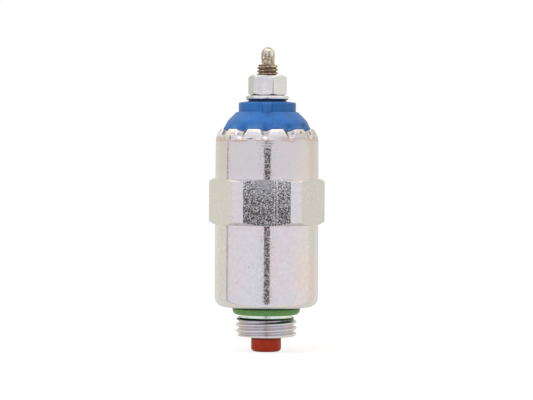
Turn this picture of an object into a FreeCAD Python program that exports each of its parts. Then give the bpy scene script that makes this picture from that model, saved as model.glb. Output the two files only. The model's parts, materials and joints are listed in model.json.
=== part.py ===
import FreeCAD, Part
import math
import os
import Sketcher

# Driving sizes, in millimetres and degrees. Heights are counted upwards from the seat face of the housing.
SIZES = {
    # Barrel, its rounded foot and the floor of the coil chamber
    "barrel_diameter": 24.0,
    "barrel_wall": 1.5,
    "foot_round": 1.8,
    "floor_height": 3.0,
    "plate_seat_height": 34.5,
    # Spanner collar, and how far its round and its flats stand out from the barrel
    "collar_stand": 1.45,
    "collar_flat_stand": 0.3,
    "collar_flat_count": 6,
    "collar_turn": 30.0,
    "collar_bottom": 19.1,
    "collar_height": 10.6,
    "collar_chamfer_angle": 31.0,
    "collar_top_chamfer": 0.9,
    "collar_bottom_chamfer": 1.2,
    # Rim rolled over the cap, and the flutes pressed into it
    "rim_wall": 1.0,
    "shoulder_rise": 1.3,
    "crimp_radius": 4.8,
    "crimp_angle": 46.0,
    "spare_metal": 0.6,
    "spare_foot": 1.3,
    "spare_head": 2.0,
    "flute_count": 12,
    "flute_turn": -2.1,
    "flute_radius": 1.8,
    "flute_depth": 0.75,
    "flute_tilt": 37.2,
    "flute_run_in": 4.0,
    "flute_run_out": 5.0,
    "dent_run_in": 1.5,
    "dent_run_out": 2.5,
    # Nose: its neck for the ring seal, the recess round that, and the thread, plain at its crest diameter
    "nose_length": 6.9,
    "nose_bore": 7.6,
    "nose_bore_chamfer": 0.3,
    "neck_diameter": 12.1,
    "neck_length": 2.3,
    "thread_diameter": 14.2,
    "thread_chamfer": 0.55,
    "nose_ring_section": 1.8,
    "seal_recess_depth": 0.15,
    # Guide sleeve, its seals, and the running gap of the plunger
    "sleeve_ledge_height": 1.2,
    "sleeve_bore": 9.1,
    "sleeve_wall": 0.4,
    "sleeve_seal_section": 1.3,
    "slide_gap": 0.05,
    "seal_gap": 0.02,
    "fit_gap": 0.05,
    # Fixed pole, its tenon and the thin disc on its face
    "pole_face_height": 19.5,
    "pole_pocket_depth": 5.0,
    "tenon_diameter": 6.0,
    "tenon_stand": 0.3,
    "tenon_chamfer": 0.4,
    "shim_thickness": 0.15,
    # Plunger and its rubber tip
    "plunger_stroke": 2.2,
    "neck_gap": 0.1,
    "plunger_neck_inset": 0.9,
    "plunger_pocket_floor": 9.1,
    "plunger_chamfer": 0.3,
    "bypass_width": 1.0,
    "bypass_depth": 0.5,
    "bypass_count": 4,
    "tip_diameter": 7.0,
    "tip_stand": 3.55,
    "tip_round": 0.55,
    "tip_stem_diameter": 4.0,
    "tip_stem_length": 1.5,
    "tip_bulb_diameter": 5.2,
    "tip_bulb_length": 1.5,
    # Return spring
    "spring_diameter": 4.6,
    "spring_wire": 0.6,
    "spring_wire_sides": 6,
    "spring_turns": 7.0,
    "spring_pocket": 4.8,
    # End plate, coil former, winding and the conical spring under it
    "plate_thickness": 2.5,
    "lead_hole_diameter": 1.8,
    "lead_step": 1.1,
    "disc_spring_height": 0.85,
    "disc_spring_thickness": 0.35,
    "disc_spring_margin": 0.7,
    "bobbin_gap": 0.2,
    "bobbin_hub_wall": 0.8,
    "bobbin_lower_flange": 1.5,
    "bobbin_upper_flange": 2.0,
    "bobbin_notch_width": 1.6,
    "winding_inset": 0.85,
    "tape_thickness": 0.2,
    # Blue cap
    "cap_seal_thickness": 0.8,
    "cap_seal_width": 1.45,
    "crimp_gap_angle": 0.8,
    "skirt_wall": 1.5,
    "skirt_rise": 0.6,
    "crown_root_depth": 3.1,
    "cone_top_diameter": 14.3,
    "cone_rise": 6.9,
    "ring_diameter": 13.3,
    "ring_height": 2.2,
    "ring_chamfer": 0.3,
    "crown_rise": 0.3,
    "rib_radius": 1.08,
    "rib_tail": 1.6,
    "rib_turn": -90.0,
    "boss_diameter": 8.8,
    "boss_stand": 0.3,
    "boss_roof": 3.4,
    "head_pocket_diameter": 8.1,
    "head_pocket_depth": 2.0,
    # Terminal stud, its seal and the solder on its end
    "stud_diameter": 4.95,
    "stud_bore": 1.1,
    "stud_gap": 0.08,
    "stud_head_diameter": 7.8,
    "stud_head_thickness": 1.2,
    "stud_seal_thickness": 1.0,
    "stud_stand": 8.2,
    "stud_chamfer": 0.5,
    "pin_diameter": 2.9,
    "pin_length": 3.9,
    "solder_thickness": 0.12,
    "solder_length": 2.7,
    "solder_plug": 1.4,
    # Nut and washer on the stud
    "washer_diameter": 10.0,
    "washer_bore": 5.3,
    "washer_thickness": 1.0,
    "washer_chamfer": 0.2,
    "nut_flats": 8.0,
    "nut_height": 4.7,
    "nut_turn": 17.8,
    "nut_chamfer_angle": 30.0,
    "nut_face_diameter": 7.5,
    "nut_flat_count": 6,
    # Leads of the coil
    "feed_diameter": 0.8,
    "feed_bend": 2.0,
    "feed_rise": 2.3,
    "earth_diameter": 0.7,
    "earth_bend": 0.7,
}

doc = FreeCAD.newDocument("FuelShutoffSolenoid")
sheet = doc.addObject("Spreadsheet::Sheet", "Sizes")
for row, (alias, number) in enumerate(SIZES.items(), 1):
    sheet.set(f"A{row}", alias)
    sheet.set(f"B{row}", str(number))
    sheet.setAlias(f"B{row}", alias)
doc.recompute()


class Quantity:
    """A number together with the sheet formula that gives it, so that what it builds follows the sheet."""

    def __init__(self, number, formula):
        self.number = number
        self.formula = formula

    def __add__(self, other):
        return Quantity(self.number + amount(other), f"({self.formula} + {words(other)})")

    def __sub__(self, other):
        return Quantity(self.number - amount(other), f"({self.formula} - {words(other)})")

    def __mul__(self, other):
        return Quantity(self.number * amount(other), f"({self.formula} * {words(other)})")

    def __truediv__(self, other):
        return Quantity(self.number / amount(other), f"({self.formula} / {words(other)})")

    def __neg__(self):
        return Quantity(-self.number, f"(0 - {self.formula})")


def amount(value):
    return value.number if isinstance(value, Quantity) else value


def words(value):
    return value.formula if isinstance(value, Quantity) else str(value)


def cosine(angle):
    return Quantity(math.cos(math.radians(angle.number)), f"cos({angle.formula})")


def sine(angle):
    return Quantity(math.sin(math.radians(angle.number)), f"sin({angle.formula})")


def tangent(angle):
    return Quantity(math.tan(math.radians(angle.number)), f"tan({angle.formula})")


def size(alias):
    return Quantity(float(SIZES[alias]), f"Sizes.{alias}")


def radius(alias):
    return size(alias) / 2


# Measures that several pieces share, worked out from the driving sizes
barrel_radius = radius("barrel_diameter")
chamber_radius = barrel_radius - size("barrel_wall")
rim_bore_radius = barrel_radius - size("rim_wall")
floor_height = size("floor_height")
plate_bottom = size("plate_seat_height")
plate_top = plate_bottom + size("plate_thickness")
shoulder_height = plate_top + size("shoulder_rise")
crimp_centre = barrel_radius - size("crimp_radius")
cap_base = plate_top + size("cap_seal_thickness")
cap_radius = rim_bore_radius - size("fit_gap")

neck_radius = radius("neck_diameter")
nose_end = -size("nose_length")
plunger_neck_end = nose_end + size("plunger_neck_inset")
ledge_height = size("sleeve_ledge_height")
sleeve_radius = radius("sleeve_bore") + size("sleeve_wall")
plunger_radius = radius("sleeve_bore") - size("slide_gap")
plunger_neck_radius = radius("nose_bore") - size("neck_gap")
pole_face = size("pole_face_height")
plunger_top = pole_face - size("shim_thickness") - size("plunger_stroke") - size("slide_gap")
pole_pocket_top = pole_face + size("pole_pocket_depth")
pocket_radius = radius("spring_pocket")

bobbin_bottom = floor_height + size("disc_spring_height")
bobbin_bore_radius = sleeve_radius + size("fit_gap") * 2
bobbin_hub_radius = bobbin_bore_radius + size("bobbin_hub_wall")
bobbin_radius = chamber_radius - size("bobbin_gap")
winding_bottom = bobbin_bottom + size("bobbin_lower_flange") + size("fit_gap")
winding_top = plate_bottom - size("bobbin_upper_flange") - size("fit_gap")
winding_radius = bobbin_radius - size("winding_inset")
lead_place = bobbin_hub_radius + size("lead_step")
seal_section = size("sleeve_seal_section")
lower_seal_bore = sleeve_radius + size("seal_gap")
upper_seal_bore = plunger_radius + size("seal_gap")
lower_seal_seat = lower_seal_bore + seal_section + size("fit_gap")
sleeve_top = plate_bottom - seal_section - size("fit_gap") * 2

cone_top = shoulder_height + size("cone_rise")
ring_top = cone_top + size("ring_height")
boss_top = ring_top + size("crown_rise") + size("boss_stand")
head_ceiling = boss_top - size("boss_roof")
stud_radius = radius("stud_diameter")
stud_hole_radius = stud_radius + size("stud_gap")
head_top = head_ceiling - size("stud_seal_thickness")
head_bottom = head_top - size("stud_head_thickness")
nut_bottom = boss_top + size("washer_thickness")
nut_top = nut_bottom + size("nut_height")
stud_thread_top = boss_top + size("stud_stand")
pin_top = stud_thread_top + size("pin_length")
pin_dome_centre = pin_top - radius("pin_diameter")
lead_end = pin_top - size("solder_plug")


def on_crimp(distance, angle):
    """The point at this distance from the centre of the rolled arc, at this angle above it."""
    return crimp_centre + distance * cosine(angle), shoulder_height + distance * sine(angle)


# Sketches

def origin_part(body, role):
    """The plane or axis of the body's own origin that has this role."""
    return [feature for feature in body.Origin.OriginFeatures if feature.Role == role][0]


def bind(thing, place, value):
    """Set a property or constraint, and tie it to the sheet where it comes from there."""
    if isinstance(value, Quantity):
        thing.setExpression(place, value.formula)


def hold(sketch, kind, *references, value):
    """Add a measured constraint that follows the sheet."""
    index = sketch.addConstraint(Sketcher.Constraint(kind, *references, amount(value)))
    bind(sketch, f"Constraints[{index}]", value)


def arc_between(start, stop, bend):
    """The arc from start to stop. A positive bend turns left on the way, a negative one turns right."""
    half = (stop - start) * 0.5
    reach = math.sqrt(bend ** 2 - half.Length ** 2)
    left = FreeCAD.Vector(-half.y, half.x, 0).normalize()
    centre = start + half + left * math.copysign(reach, bend)
    ends = (start, stop) if bend > 0 else (stop, start)
    angles = [math.atan2(end.y - centre.y, end.x - centre.x) for end in ends]
    return Part.ArcOfCircle(Part.Circle(centre, FreeCAD.Vector(0, 0, 1), abs(bend)), *angles)


def new_sketch(body, name, plane, height=None, turn=None):
    """A sketch on one of the body's own planes, raised to a height or turned about the upright axis."""
    sketch = body.newObject("Sketcher::SketchObject", name)
    sketch.AttachmentSupport = [(origin_part(body, plane), "")]
    sketch.MapMode = "FlatFace"
    upright = FreeCAD.Vector(0, 0, 1) if plane == "XY_Plane" else FreeCAD.Vector(0, 1, 0)
    rotation = FreeCAD.Rotation(upright, amount(turn)) if turn else FreeCAD.Rotation()
    sketch.AttachmentOffset = FreeCAD.Placement(FreeCAD.Vector(0, 0, amount(height or 0.0)), rotation)
    bind(sketch, "AttachmentOffset.Base.z", height)
    bind(sketch, "AttachmentOffset.Rotation.Angle", turn)
    return sketch


def outline(sketch, corners, closed=True):
    """Draw edges through the corners: (across, up), and then the bend of the next edge if it is an arc."""
    points = [FreeCAD.Vector(amount(corner[0]), amount(corner[1]), 0) for corner in corners]
    count = len(corners) if closed else len(corners) - 1
    ends = []
    for index in range(count):
        start, stop = points[index], points[(index + 1) % len(points)]
        bend = corners[index][2] if len(corners[index]) > 2 else None
        if bend is None:
            edge = sketch.addGeometry(Part.LineSegment(start, stop))
            ends.append((1, 2))
        else:
            edge = sketch.addGeometry(arc_between(start, stop, amount(bend)))
            ends.append((1, 2) if amount(bend) > 0 else (2, 1))
        if index:
            sketch.addConstraint(Sketcher.Constraint("Coincident", edge - 1, ends[-2][1], edge, ends[-1][0]))
    first = edge - count + 1
    if closed:
        sketch.addConstraint(Sketcher.Constraint("Coincident", edge, ends[-1][1], first, ends[0][0]))
    for index, corner in enumerate(corners):
        place = (first + index, ends[index][0]) if index < count else (edge, ends[-1][1])
        hold(sketch, "DistanceX", -1, 1, *place, value=corner[0])
        hold(sketch, "DistanceY", -1, 1, *place, value=corner[1])
        if index < count and len(corner) > 2:
            bend = corner[2]
            hold(sketch, "Radius", first + index, value=bend if amount(bend) > 0 else -bend)
    return sketch


def spot(sketch, across, along, reach):
    """Draw a circle."""
    centre = FreeCAD.Vector(amount(across), amount(along), 0)
    ring = sketch.addGeometry(Part.Circle(centre, FreeCAD.Vector(0, 0, 1), amount(reach)))
    hold(sketch, "DistanceX", -1, 1, ring, 3, value=across)
    hold(sketch, "DistanceY", -1, 1, ring, 3, value=along)
    hold(sketch, "Radius", ring, value=reach)
    return sketch


# Features

def new_body(label):
    return doc.addObject("PartDesign::Body", label)


def feature(body, kind, name, sketch):
    made = body.newObject(kind, f"{body.Label}_{name}")
    made.Profile = sketch
    return made


def turned(body, name, corners, kind="PartDesign::Revolution"):
    """Turn an outline right round the upright axis, to add metal or, as a groove, to take it away."""
    sketch = outline(new_sketch(body, f"{body.Label}_{name}_outline", "XZ_Plane"), corners)
    made = feature(body, kind, name, sketch)
    made.ReferenceAxis = (sketch, ["V_Axis"])
    made.Angle = 360
    doc.recompute()
    return made


def prism(body, name, corners, low, high, turn=None, kind="PartDesign::Pocket"):
    """Cut, or pad, an upright prism between two heights."""
    cuts = kind == "PartDesign::Pocket"
    sketch = new_sketch(body, f"{body.Label}_{name}_outline", "XY_Plane", high if cuts else low, turn)
    made = feature(body, kind, name, outline(sketch, corners))
    made.Length = amount(high - low)
    bind(made, "Length", high - low)
    doc.recompute()
    return made


def drilled(body, name, across, reach, low, high):
    """Drill an upright hole between two heights, at a place along X."""
    sketch = new_sketch(body, f"{body.Label}_{name}_outline", "XY_Plane", high)
    made = feature(body, "PartDesign::Pocket", name, spot(sketch, across, 0.0, reach))
    made.Length = amount(high - low)
    bind(made, "Length", high - low)
    doc.recompute()
    return made


def repeated(body, original, count):
    """Repeat a feature evenly round the upright axis."""
    pattern = body.newObject("PartDesign::PolarPattern", f"{original.Label}_pattern")
    pattern.Originals = [original]
    pattern.Axis = (origin_part(body, "Z_Axis"), [""])
    pattern.Angle = 360
    pattern.Occurrences = int(count.number)
    bind(pattern, "Occurrences", count)
    body.Tip = pattern
    doc.recompute()
    return pattern


def flats(body, near, corner_radius, low, high, turn, count):
    """Cut flats at this distance from the axis, each as one upright pocket that runs out past the corners."""
    beyond = corner_radius * 2 - near
    corners = [(near, -beyond), (beyond, -beyond), (beyond, beyond), (near, beyond)]
    return repeated(body, prism(body, "flat", corners, low, high, turn), count)


def punched(body, name, reach, run_in, run_out, kind):
    """A round punch, or the metal round it, lying along a flute of the crimp, and repeated for every flute.

    Its axis slopes down and outwards. The lowest line of a punch of the flute's own radius passes through the
    rim at the flute's depth. The two runs are how far it reaches inwards and outwards from there.
    """
    tilt = size("flute_tilt")
    rim = on_crimp(size("crimp_radius") - size("flute_depth"), size("crimp_angle"))
    middle = [rim[0] + size("flute_radius") * sine(tilt), rim[1] + size("flute_radius") * cosine(tilt)]
    start = (middle[0] - cosine(tilt) * run_in, middle[1] + sine(tilt) * run_in)
    stop = (middle[0] + cosine(tilt) * run_out, middle[1] - sine(tilt) * run_out)
    corners = [
        start,
        (start[0] - reach * sine(tilt), start[1] - reach * cosine(tilt)),
        (stop[0] - reach * sine(tilt), stop[1] - reach * cosine(tilt)),
        stop,
    ]
    sketch = new_sketch(body, f"{body.Label}_{name}_outline", "XZ_Plane", turn=size("flute_turn"))
    outline(sketch, corners)
    made = feature(body, kind, name, sketch)
    made.ReferenceAxis = (sketch, ["Edge4"])
    made.Angle = 360
    doc.recompute()
    return repeated(body, made, size("flute_count"))


def wire(label, corners, wire_radius):
    """A wire of round section along a route in the plane Y = 0."""
    body = new_body(label)
    spine = outline(new_sketch(body, f"{label}_route", "XZ_Plane"), corners, closed=False)
    section = new_sketch(body, f"{label}_section", "XY_Plane", corners[0][1])
    spot(section, corners[0][0], 0.0, wire_radius)
    made = feature(body, "PartDesign::AdditivePipe", "pipe", section)
    made.Spine = spine
    doc.recompute()
    return body


# Pieces

def make_housing():
    """Steel housing: barrel, spanner collar, threaded nose, and a fluted rim that is rolled over the cap."""
    body = new_body("housing")
    rim_inside = on_crimp(size("crimp_radius") - size("rim_wall"), size("crimp_angle"))
    collar_radius = barrel_radius + size("collar_stand")
    collar_top = size("collar_bottom") + size("collar_height")
    slope = tangent(size("collar_chamfer_angle"))
    crest = radius("thread_diameter")
    thread_top = -size("neck_length")
    chamfer = size("thread_chamfer")
    bore = radius("nose_bore")
    recess_radius = neck_radius + size("nose_ring_section") + size("fit_gap") * 2
    spare_base = shoulder_height - size("spare_foot")
    spare_top = rim_inside[1] + size("spare_head")
    turned(body, "turning", [
        (bore + size("nose_bore_chamfer"), nose_end),
        (crest - chamfer, nose_end),
        (crest, nose_end + chamfer),
        (crest, thread_top - chamfer),
        (crest - chamfer, thread_top),
        (neck_radius, thread_top),
        (neck_radius, size("seal_recess_depth")),
        (recess_radius, size("seal_recess_depth")),
        (recess_radius, 0.0),
        (barrel_radius - size("foot_round"), 0.0, size("foot_round")),
        (barrel_radius, size("foot_round")),
        (barrel_radius, size("collar_bottom")),
        (collar_radius - size("collar_bottom_chamfer"), size("collar_bottom")),
        (collar_radius, size("collar_bottom") + size("collar_bottom_chamfer") * slope),
        (collar_radius, collar_top - size("collar_top_chamfer") * slope),
        (collar_radius - size("collar_top_chamfer"), collar_top),
        (barrel_radius, collar_top),
        (barrel_radius, spare_base),
        (barrel_radius + size("spare_metal"), spare_base),
        (barrel_radius + size("spare_metal"), spare_top),
        (rim_inside[0], spare_top),
        rim_inside,
        (rim_bore_radius, shoulder_height),
        (rim_bore_radius, plate_bottom),
        (chamber_radius, plate_bottom),
        (chamber_radius, floor_height),
        (sleeve_radius + size("fit_gap"), floor_height),
        (sleeve_radius + size("fit_gap"), ledge_height),
        (bore, ledge_height),
        (bore, nose_end + size("nose_bore_chamfer")),
    ])
    flats(body, barrel_radius + size("collar_flat_stand"), collar_radius, size("collar_bottom"), collar_top,
          size("collar_turn"), size("collar_flat_count"))
    punched(body, "flute_wall", size("flute_radius") + size("rim_wall"),
            size("dent_run_in"), size("dent_run_out"), "PartDesign::Revolution")
    rim_outside = on_crimp(size("crimp_radius"), size("crimp_angle"))
    trim = size("crimp_radius") * 2
    turned(body, "rolled_rim", [
        (barrel_radius, spare_base),
        (barrel_radius, shoulder_height, size("crimp_radius")),
        rim_outside,
        (crimp_centre, shoulder_height),
        (crimp_centre, shoulder_height + trim),
        (barrel_radius + trim, shoulder_height + trim),
        (barrel_radius + trim, spare_base),
    ], "PartDesign::Groove")
    punched(body, "flute", size("flute_radius"),
            size("flute_run_in"), size("flute_run_out"), "PartDesign::Groove")
    return body


def make_nose_ring():
    """Ring seal of round section, lying level under the seat face."""
    half = radius("nose_ring_section")
    made = doc.addObject("Part::Torus", "nose_o_ring")
    bind(made, "Radius1", neck_radius + half + size("seal_gap"))
    bind(made, "Radius2", half)
    bind(made, "Placement.Base.z", -half - size("seal_gap"))
    return made


def make_cap():
    """Moulded cap: skirt and shoulder under the rolled rim, cone, ring with its rib, and washer boss."""
    body = new_body("terminal_cap")
    angle = size("crimp_angle") + size("crimp_gap_angle")
    under = size("crimp_radius") - size("rim_wall") - size("fit_gap")
    inside = cap_radius - size("skirt_wall")
    root = on_crimp(size("crimp_radius") - size("crown_root_depth"), angle)
    turned(body, "skirt", [
        (inside, cap_base),
        (cap_radius, cap_base),
        (cap_radius, shoulder_height),
        on_crimp(under, angle),
        root,
        (inside, shoulder_height + size("skirt_rise")),
    ])
    punched(body, "recess", size("flute_radius") + size("rim_wall") + size("fit_gap"),
            size("dent_run_in"), size("dent_run_out"), "PartDesign::Groove")
    ring_radius = radius("ring_diameter")
    soft = size("ring_chamfer")
    turned(body, "crown", [
        root,
        on_crimp(size("crimp_radius"), angle),
        (radius("cone_top_diameter"), cone_top),
        (ring_radius, cone_top),
        (ring_radius, ring_top - soft),
        (ring_radius - soft, ring_top),
        (radius("boss_diameter"), ring_top + size("crown_rise")),
        (radius("boss_diameter"), boss_top),
        (stud_hole_radius, boss_top),
        (stud_hole_radius, head_ceiling),
        (radius("head_pocket_diameter"), head_ceiling),
        (radius("head_pocket_diameter"), head_ceiling - size("head_pocket_depth")),
    ])
    foot = cone_top - size("rib_tail")
    rib = new_sketch(body, "terminal_cap_rib_outline", "XY_Plane", foot, size("rib_turn"))
    spot(rib, ring_radius, 0.0, size("rib_radius"))
    pad = feature(body, "PartDesign::Pad", "rib", rib)
    tall = size("ring_height") + size("rib_tail")
    pad.Length = amount(tall)
    bind(pad, "Length", tall)
    doc.recompute()
    return body


def make_stud():
    """Hollow terminal stud: round head inside the cap, shank for the nut and a domed pin for the solder."""
    body = new_body("terminal_stud")
    bore = radius("stud_bore")
    pin = radius("pin_diameter")
    chamfer = size("stud_chamfer")
    dome_end = height_on_ball(pin, bore)
    turned(body, "turning", [
        (bore, head_bottom),
        (radius("stud_head_diameter"), head_bottom),
        (radius("stud_head_diameter"), head_top),
        (stud_radius, head_top),
        (stud_radius, stud_thread_top - chamfer),
        (stud_radius - chamfer, stud_thread_top),
        (pin, stud_thread_top),
        (pin, pin_dome_centre, pin),
        (bore, pin_dome_centre + dome_end),
    ])
    return body


def height_on_ball(outer, inner):
    """How high above its centre a ball of the outer radius stands at the inner radius."""
    number = math.sqrt(outer.number ** 2 - inner.number ** 2)
    return Quantity(number, f"sqrt({outer.formula} ^ 2 - {inner.formula} ^ 2)")


def make_solder():
    """Solder drawn over the end of the pin and into its bore, down to the end of the lead."""
    body = new_body("solder_tip")
    gap = size("seal_gap") / 2
    bore = radius("stud_bore")
    inner = radius("pin_diameter") + gap
    outer = inner + size("solder_thickness")
    foot = pin_top - size("solder_length")
    dome_end = height_on_ball(inner, bore)
    turned(body, "coat", [
        (inner, foot),
        (outer, foot + size("solder_thickness")),
        (outer, pin_dome_centre, outer),
        (0.0, pin_dome_centre + outer),
        (0.0, lead_end),
        (bore - gap, lead_end),
        (bore - gap, pin_dome_centre + dome_end),
        (bore, pin_dome_centre + dome_end, -inner),
        (inner, pin_dome_centre),
    ])
    return body


def make_nut():
    """Hexagon nut, chamfered on both faces."""
    body = new_body("terminal_nut")
    corner = radius("nut_flats") / cosine(size("nut_chamfer_angle"))
    slope = tangent(size("nut_chamfer_angle"))
    face = radius("nut_face_diameter")
    drop = (corner - face) * slope
    turned(body, "blank", [
        (stud_hole_radius, nut_bottom + size("stud_gap")),
        (stud_hole_radius + size("stud_gap"), nut_bottom),
        (face, nut_bottom),
        (corner, nut_bottom + drop),
        (corner, nut_top - drop),
        (face, nut_top),
        (stud_hole_radius + size("stud_gap"), nut_top),
        (stud_hole_radius, nut_top - size("stud_gap")),
    ])
    flats(body, radius("nut_flats"), corner, nut_bottom, nut_top, size("nut_turn"), size("nut_flat_count"))
    return body


def make_washer():
    body = new_body("terminal_washer")
    outer = radius("washer_diameter")
    soft = size("washer_chamfer")
    turned(body, "stamping", [
        (radius("washer_bore"), boss_top),
        (outer - soft, boss_top),
        (outer, boss_top + soft),
        (outer, nut_bottom - soft),
        (outer - soft, nut_bottom),
        (radius("washer_bore"), nut_bottom),
    ])
    return body


def flat_ring(label, inner, outer, low, high):
    """A plain ring of rectangular section."""
    body = new_body(label)
    turned(body, "ring", [(inner, low), (outer, low), (outer, high), (inner, high)])
    return body


def make_end_plate():
    """Round steel plate under the cap, with a hole for the pole's tenon and one for each lead."""
    tenon_hole = radius("tenon_diameter") + size("seal_gap")
    body = flat_ring("end_plate", tenon_hole, cap_radius, plate_bottom, plate_top)
    drilled(body, "feed_hole", lead_place, radius("lead_hole_diameter"), plate_bottom, plate_top)
    drilled(body, "earth_hole", -lead_place, radius("lead_hole_diameter"), plate_bottom, plate_top)
    return body


def make_pole_core():
    """Fixed pole: tenon through the end plate, round core in the sleeve, and a spring pocket in its face."""
    body = new_body("pole_core")
    tenon = radius("tenon_diameter")
    top = plate_top + size("tenon_stand")
    turned(body, "turning", [
        (0.0, pole_pocket_top),
        (pocket_radius, pole_pocket_top),
        (pocket_radius, pole_face),
        (plunger_radius, pole_face),
        (plunger_radius, plate_bottom),
        (tenon, plate_bottom),
        (tenon, top - size("tenon_chamfer")),
        (tenon - size("tenon_chamfer"), top),
        (0.0, top),
    ])
    return body


def make_plunger():
    """Steel plunger: guided body with a spring pocket and bypass grooves, and a neck for the rubber tip."""
    body = new_body("plunger")
    gap = size("fit_gap")
    end = plunger_neck_end
    stem = radius("tip_stem_diameter") + gap
    bulb = radius("tip_bulb_diameter") + gap
    stem_top = end + size("tip_stem_length") - gap
    bulb_top = end + size("tip_stem_length") + size("tip_bulb_length") + gap
    soft = size("plunger_chamfer")
    rest = ledge_height + size("seal_gap")
    turned(body, "turning", [
        (stem, end),
        (plunger_neck_radius - soft, end),
        (plunger_neck_radius, end + soft),
        (plunger_neck_radius, rest),
        (plunger_radius, rest),
        (plunger_radius, plunger_top - soft),
        (plunger_radius - soft, plunger_top),
        (pocket_radius, plunger_top),
        (pocket_radius, size("plunger_pocket_floor")),
        (0.0, size("plunger_pocket_floor")),
        (0.0, bulb_top),
        (bulb, bulb_top),
        (bulb, stem_top),
        (stem, stem_top),
    ])
    half = radius("bypass_width")
    floor = plunger_radius - size("bypass_depth")
    beyond = plunger_radius + size("bypass_depth")
    corners = [(floor, -half), (beyond, -half), (beyond, half), (floor, half)]
    repeated(body, prism(body, "bypass", corners, rest, plunger_top), size("bypass_count"))
    return body


def make_valve_tip():
    """Rubber tip with a bulb that snaps into the plunger's neck."""
    body = new_body("valve_tip")
    tip = radius("tip_diameter")
    low = nose_end - size("tip_stand")
    soft = size("tip_round")
    end = plunger_neck_end
    stem = radius("tip_stem_diameter")
    bulb = radius("tip_bulb_diameter")
    stem_top = end + size("tip_stem_length")
    bulb_top = stem_top + size("tip_bulb_length")
    turned(body, "moulding", [
        (0.0, low),
        (tip - soft, low, soft),
        (tip, low + soft),
        (tip, end),
        (stem, end),
        (stem, stem_top),
        (bulb, stem_top),
        (bulb, bulb_top),
        (0.0, bulb_top),
    ])
    return body


def make_spring():
    """Return spring between the floors of the two pockets, on an even helix with both ends ground flat.

    The round wire is drawn with a few flat sides.
    """
    body = new_body("return_spring")
    half = radius("spring_wire")
    middle = radius("spring_diameter") - half
    low = size("plunger_pocket_floor")
    high = pole_pocket_top
    pitch = (high - low) / size("spring_turns")
    sides = size("spring_wire_sides")
    angles = [Quantity(360.0, "360") * (index + 0.5) / sides for index in range(int(sides.number))]
    sketch = new_sketch(body, "return_spring_section", "XZ_Plane")
    outline(sketch, [(middle + half * cosine(angle), low + half * sine(angle)) for angle in angles])
    coil = feature(body, "PartDesign::AdditiveHelix", "coil", sketch)
    coil.ReferenceAxis = (sketch, ["V_Axis"])
    coil.Mode = "pitch-height-angle"
    coil.Pitch = amount(pitch)
    bind(coil, "Pitch", pitch)
    coil.Height = amount(high - low)
    bind(coil, "Height", high - low)
    doc.recompute()
    beyond = middle + half * 2
    for name, near, far in (
        ("lower_grinding", low, low - half * 2),
        ("upper_grinding", high, high + half * 2),
    ):
        turned(body, name, [(0.0, near), (beyond, near), (beyond, far), (0.0, far)], "PartDesign::Groove")
    return body


def make_bobbin():
    """Coil former: hub and two flanges, bored out at both ends for the seals, with a notch for each lead."""
    body = new_body("bobbin")
    seat = size("fit_gap")
    upper_seat = upper_seal_bore + seal_section + seat
    lower_flange = bobbin_bottom + size("bobbin_lower_flange")
    upper_flange = plate_bottom - size("bobbin_upper_flange")
    lower_seat_top = floor_height + seal_section + seat
    turned(body, "moulding", [
        (lower_seal_seat, bobbin_bottom),
        (bobbin_radius, bobbin_bottom),
        (bobbin_radius, lower_flange),
        (bobbin_hub_radius, lower_flange),
        (bobbin_hub_radius, upper_flange),
        (bobbin_radius, upper_flange),
        (bobbin_radius, plate_bottom),
        (upper_seat, plate_bottom),
        (upper_seat, sleeve_top),
        (bobbin_bore_radius, sleeve_top),
        (bobbin_bore_radius, lower_seat_top),
        (lower_seal_seat, lower_seat_top),
    ])
    half = radius("bobbin_notch_width")
    near = lead_place - half
    far = bobbin_radius + half
    for name, corners in (
        ("feed_notch", [(near, -half), (far, -half), (far, half), (near, half)]),
        ("earth_notch", [(-far, -half), (-near, -half), (-near, half), (-far, half)]),
    ):
        prism(body, name, corners, upper_flange, plate_bottom)
    return body


def make_disc_spring():
    """Conical spring washer: its outer edge stands on the chamber floor, its inner edge lifts the bobbin."""
    body = new_body("disc_spring")
    outer = bobbin_radius
    inner = lower_seal_seat + size("disc_spring_margin")
    turned(body, "pressing", [
        (inner, bobbin_bottom - size("disc_spring_thickness")),
        (outer, floor_height),
        (outer, floor_height + size("disc_spring_thickness")),
        (inner, bobbin_bottom),
    ])
    return body


def make_feed_lead():
    """Insulated wire from the winding, through the end plate and up the bore of the stud."""
    place = lead_place
    bend = size("feed_bend")
    run = plate_top + size("feed_rise")
    return wire("feed_lead", [
        (place, winding_top),
        (place, run - bend, bend),
        (place - bend, run),
        (bend, run, -bend),
        (0.0, run + bend),
        (0.0, lead_end),
    ], radius("feed_diameter"))


def make_earth_lead():
    """Wire from the winding, through the end plate and down onto it beside the pole's tenon."""
    place = -lead_place
    bend = size("earth_bend")
    run = plate_top + radius("earth_diameter") + size("seal_gap")
    return wire("earth_lead", [
        (place, winding_top),
        (place, run - bend, -bend),
        (place + bend, run),
        (-radius("tenon_diameter") - size("fit_gap"), run),
    ], radius("earth_diameter"))


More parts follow.
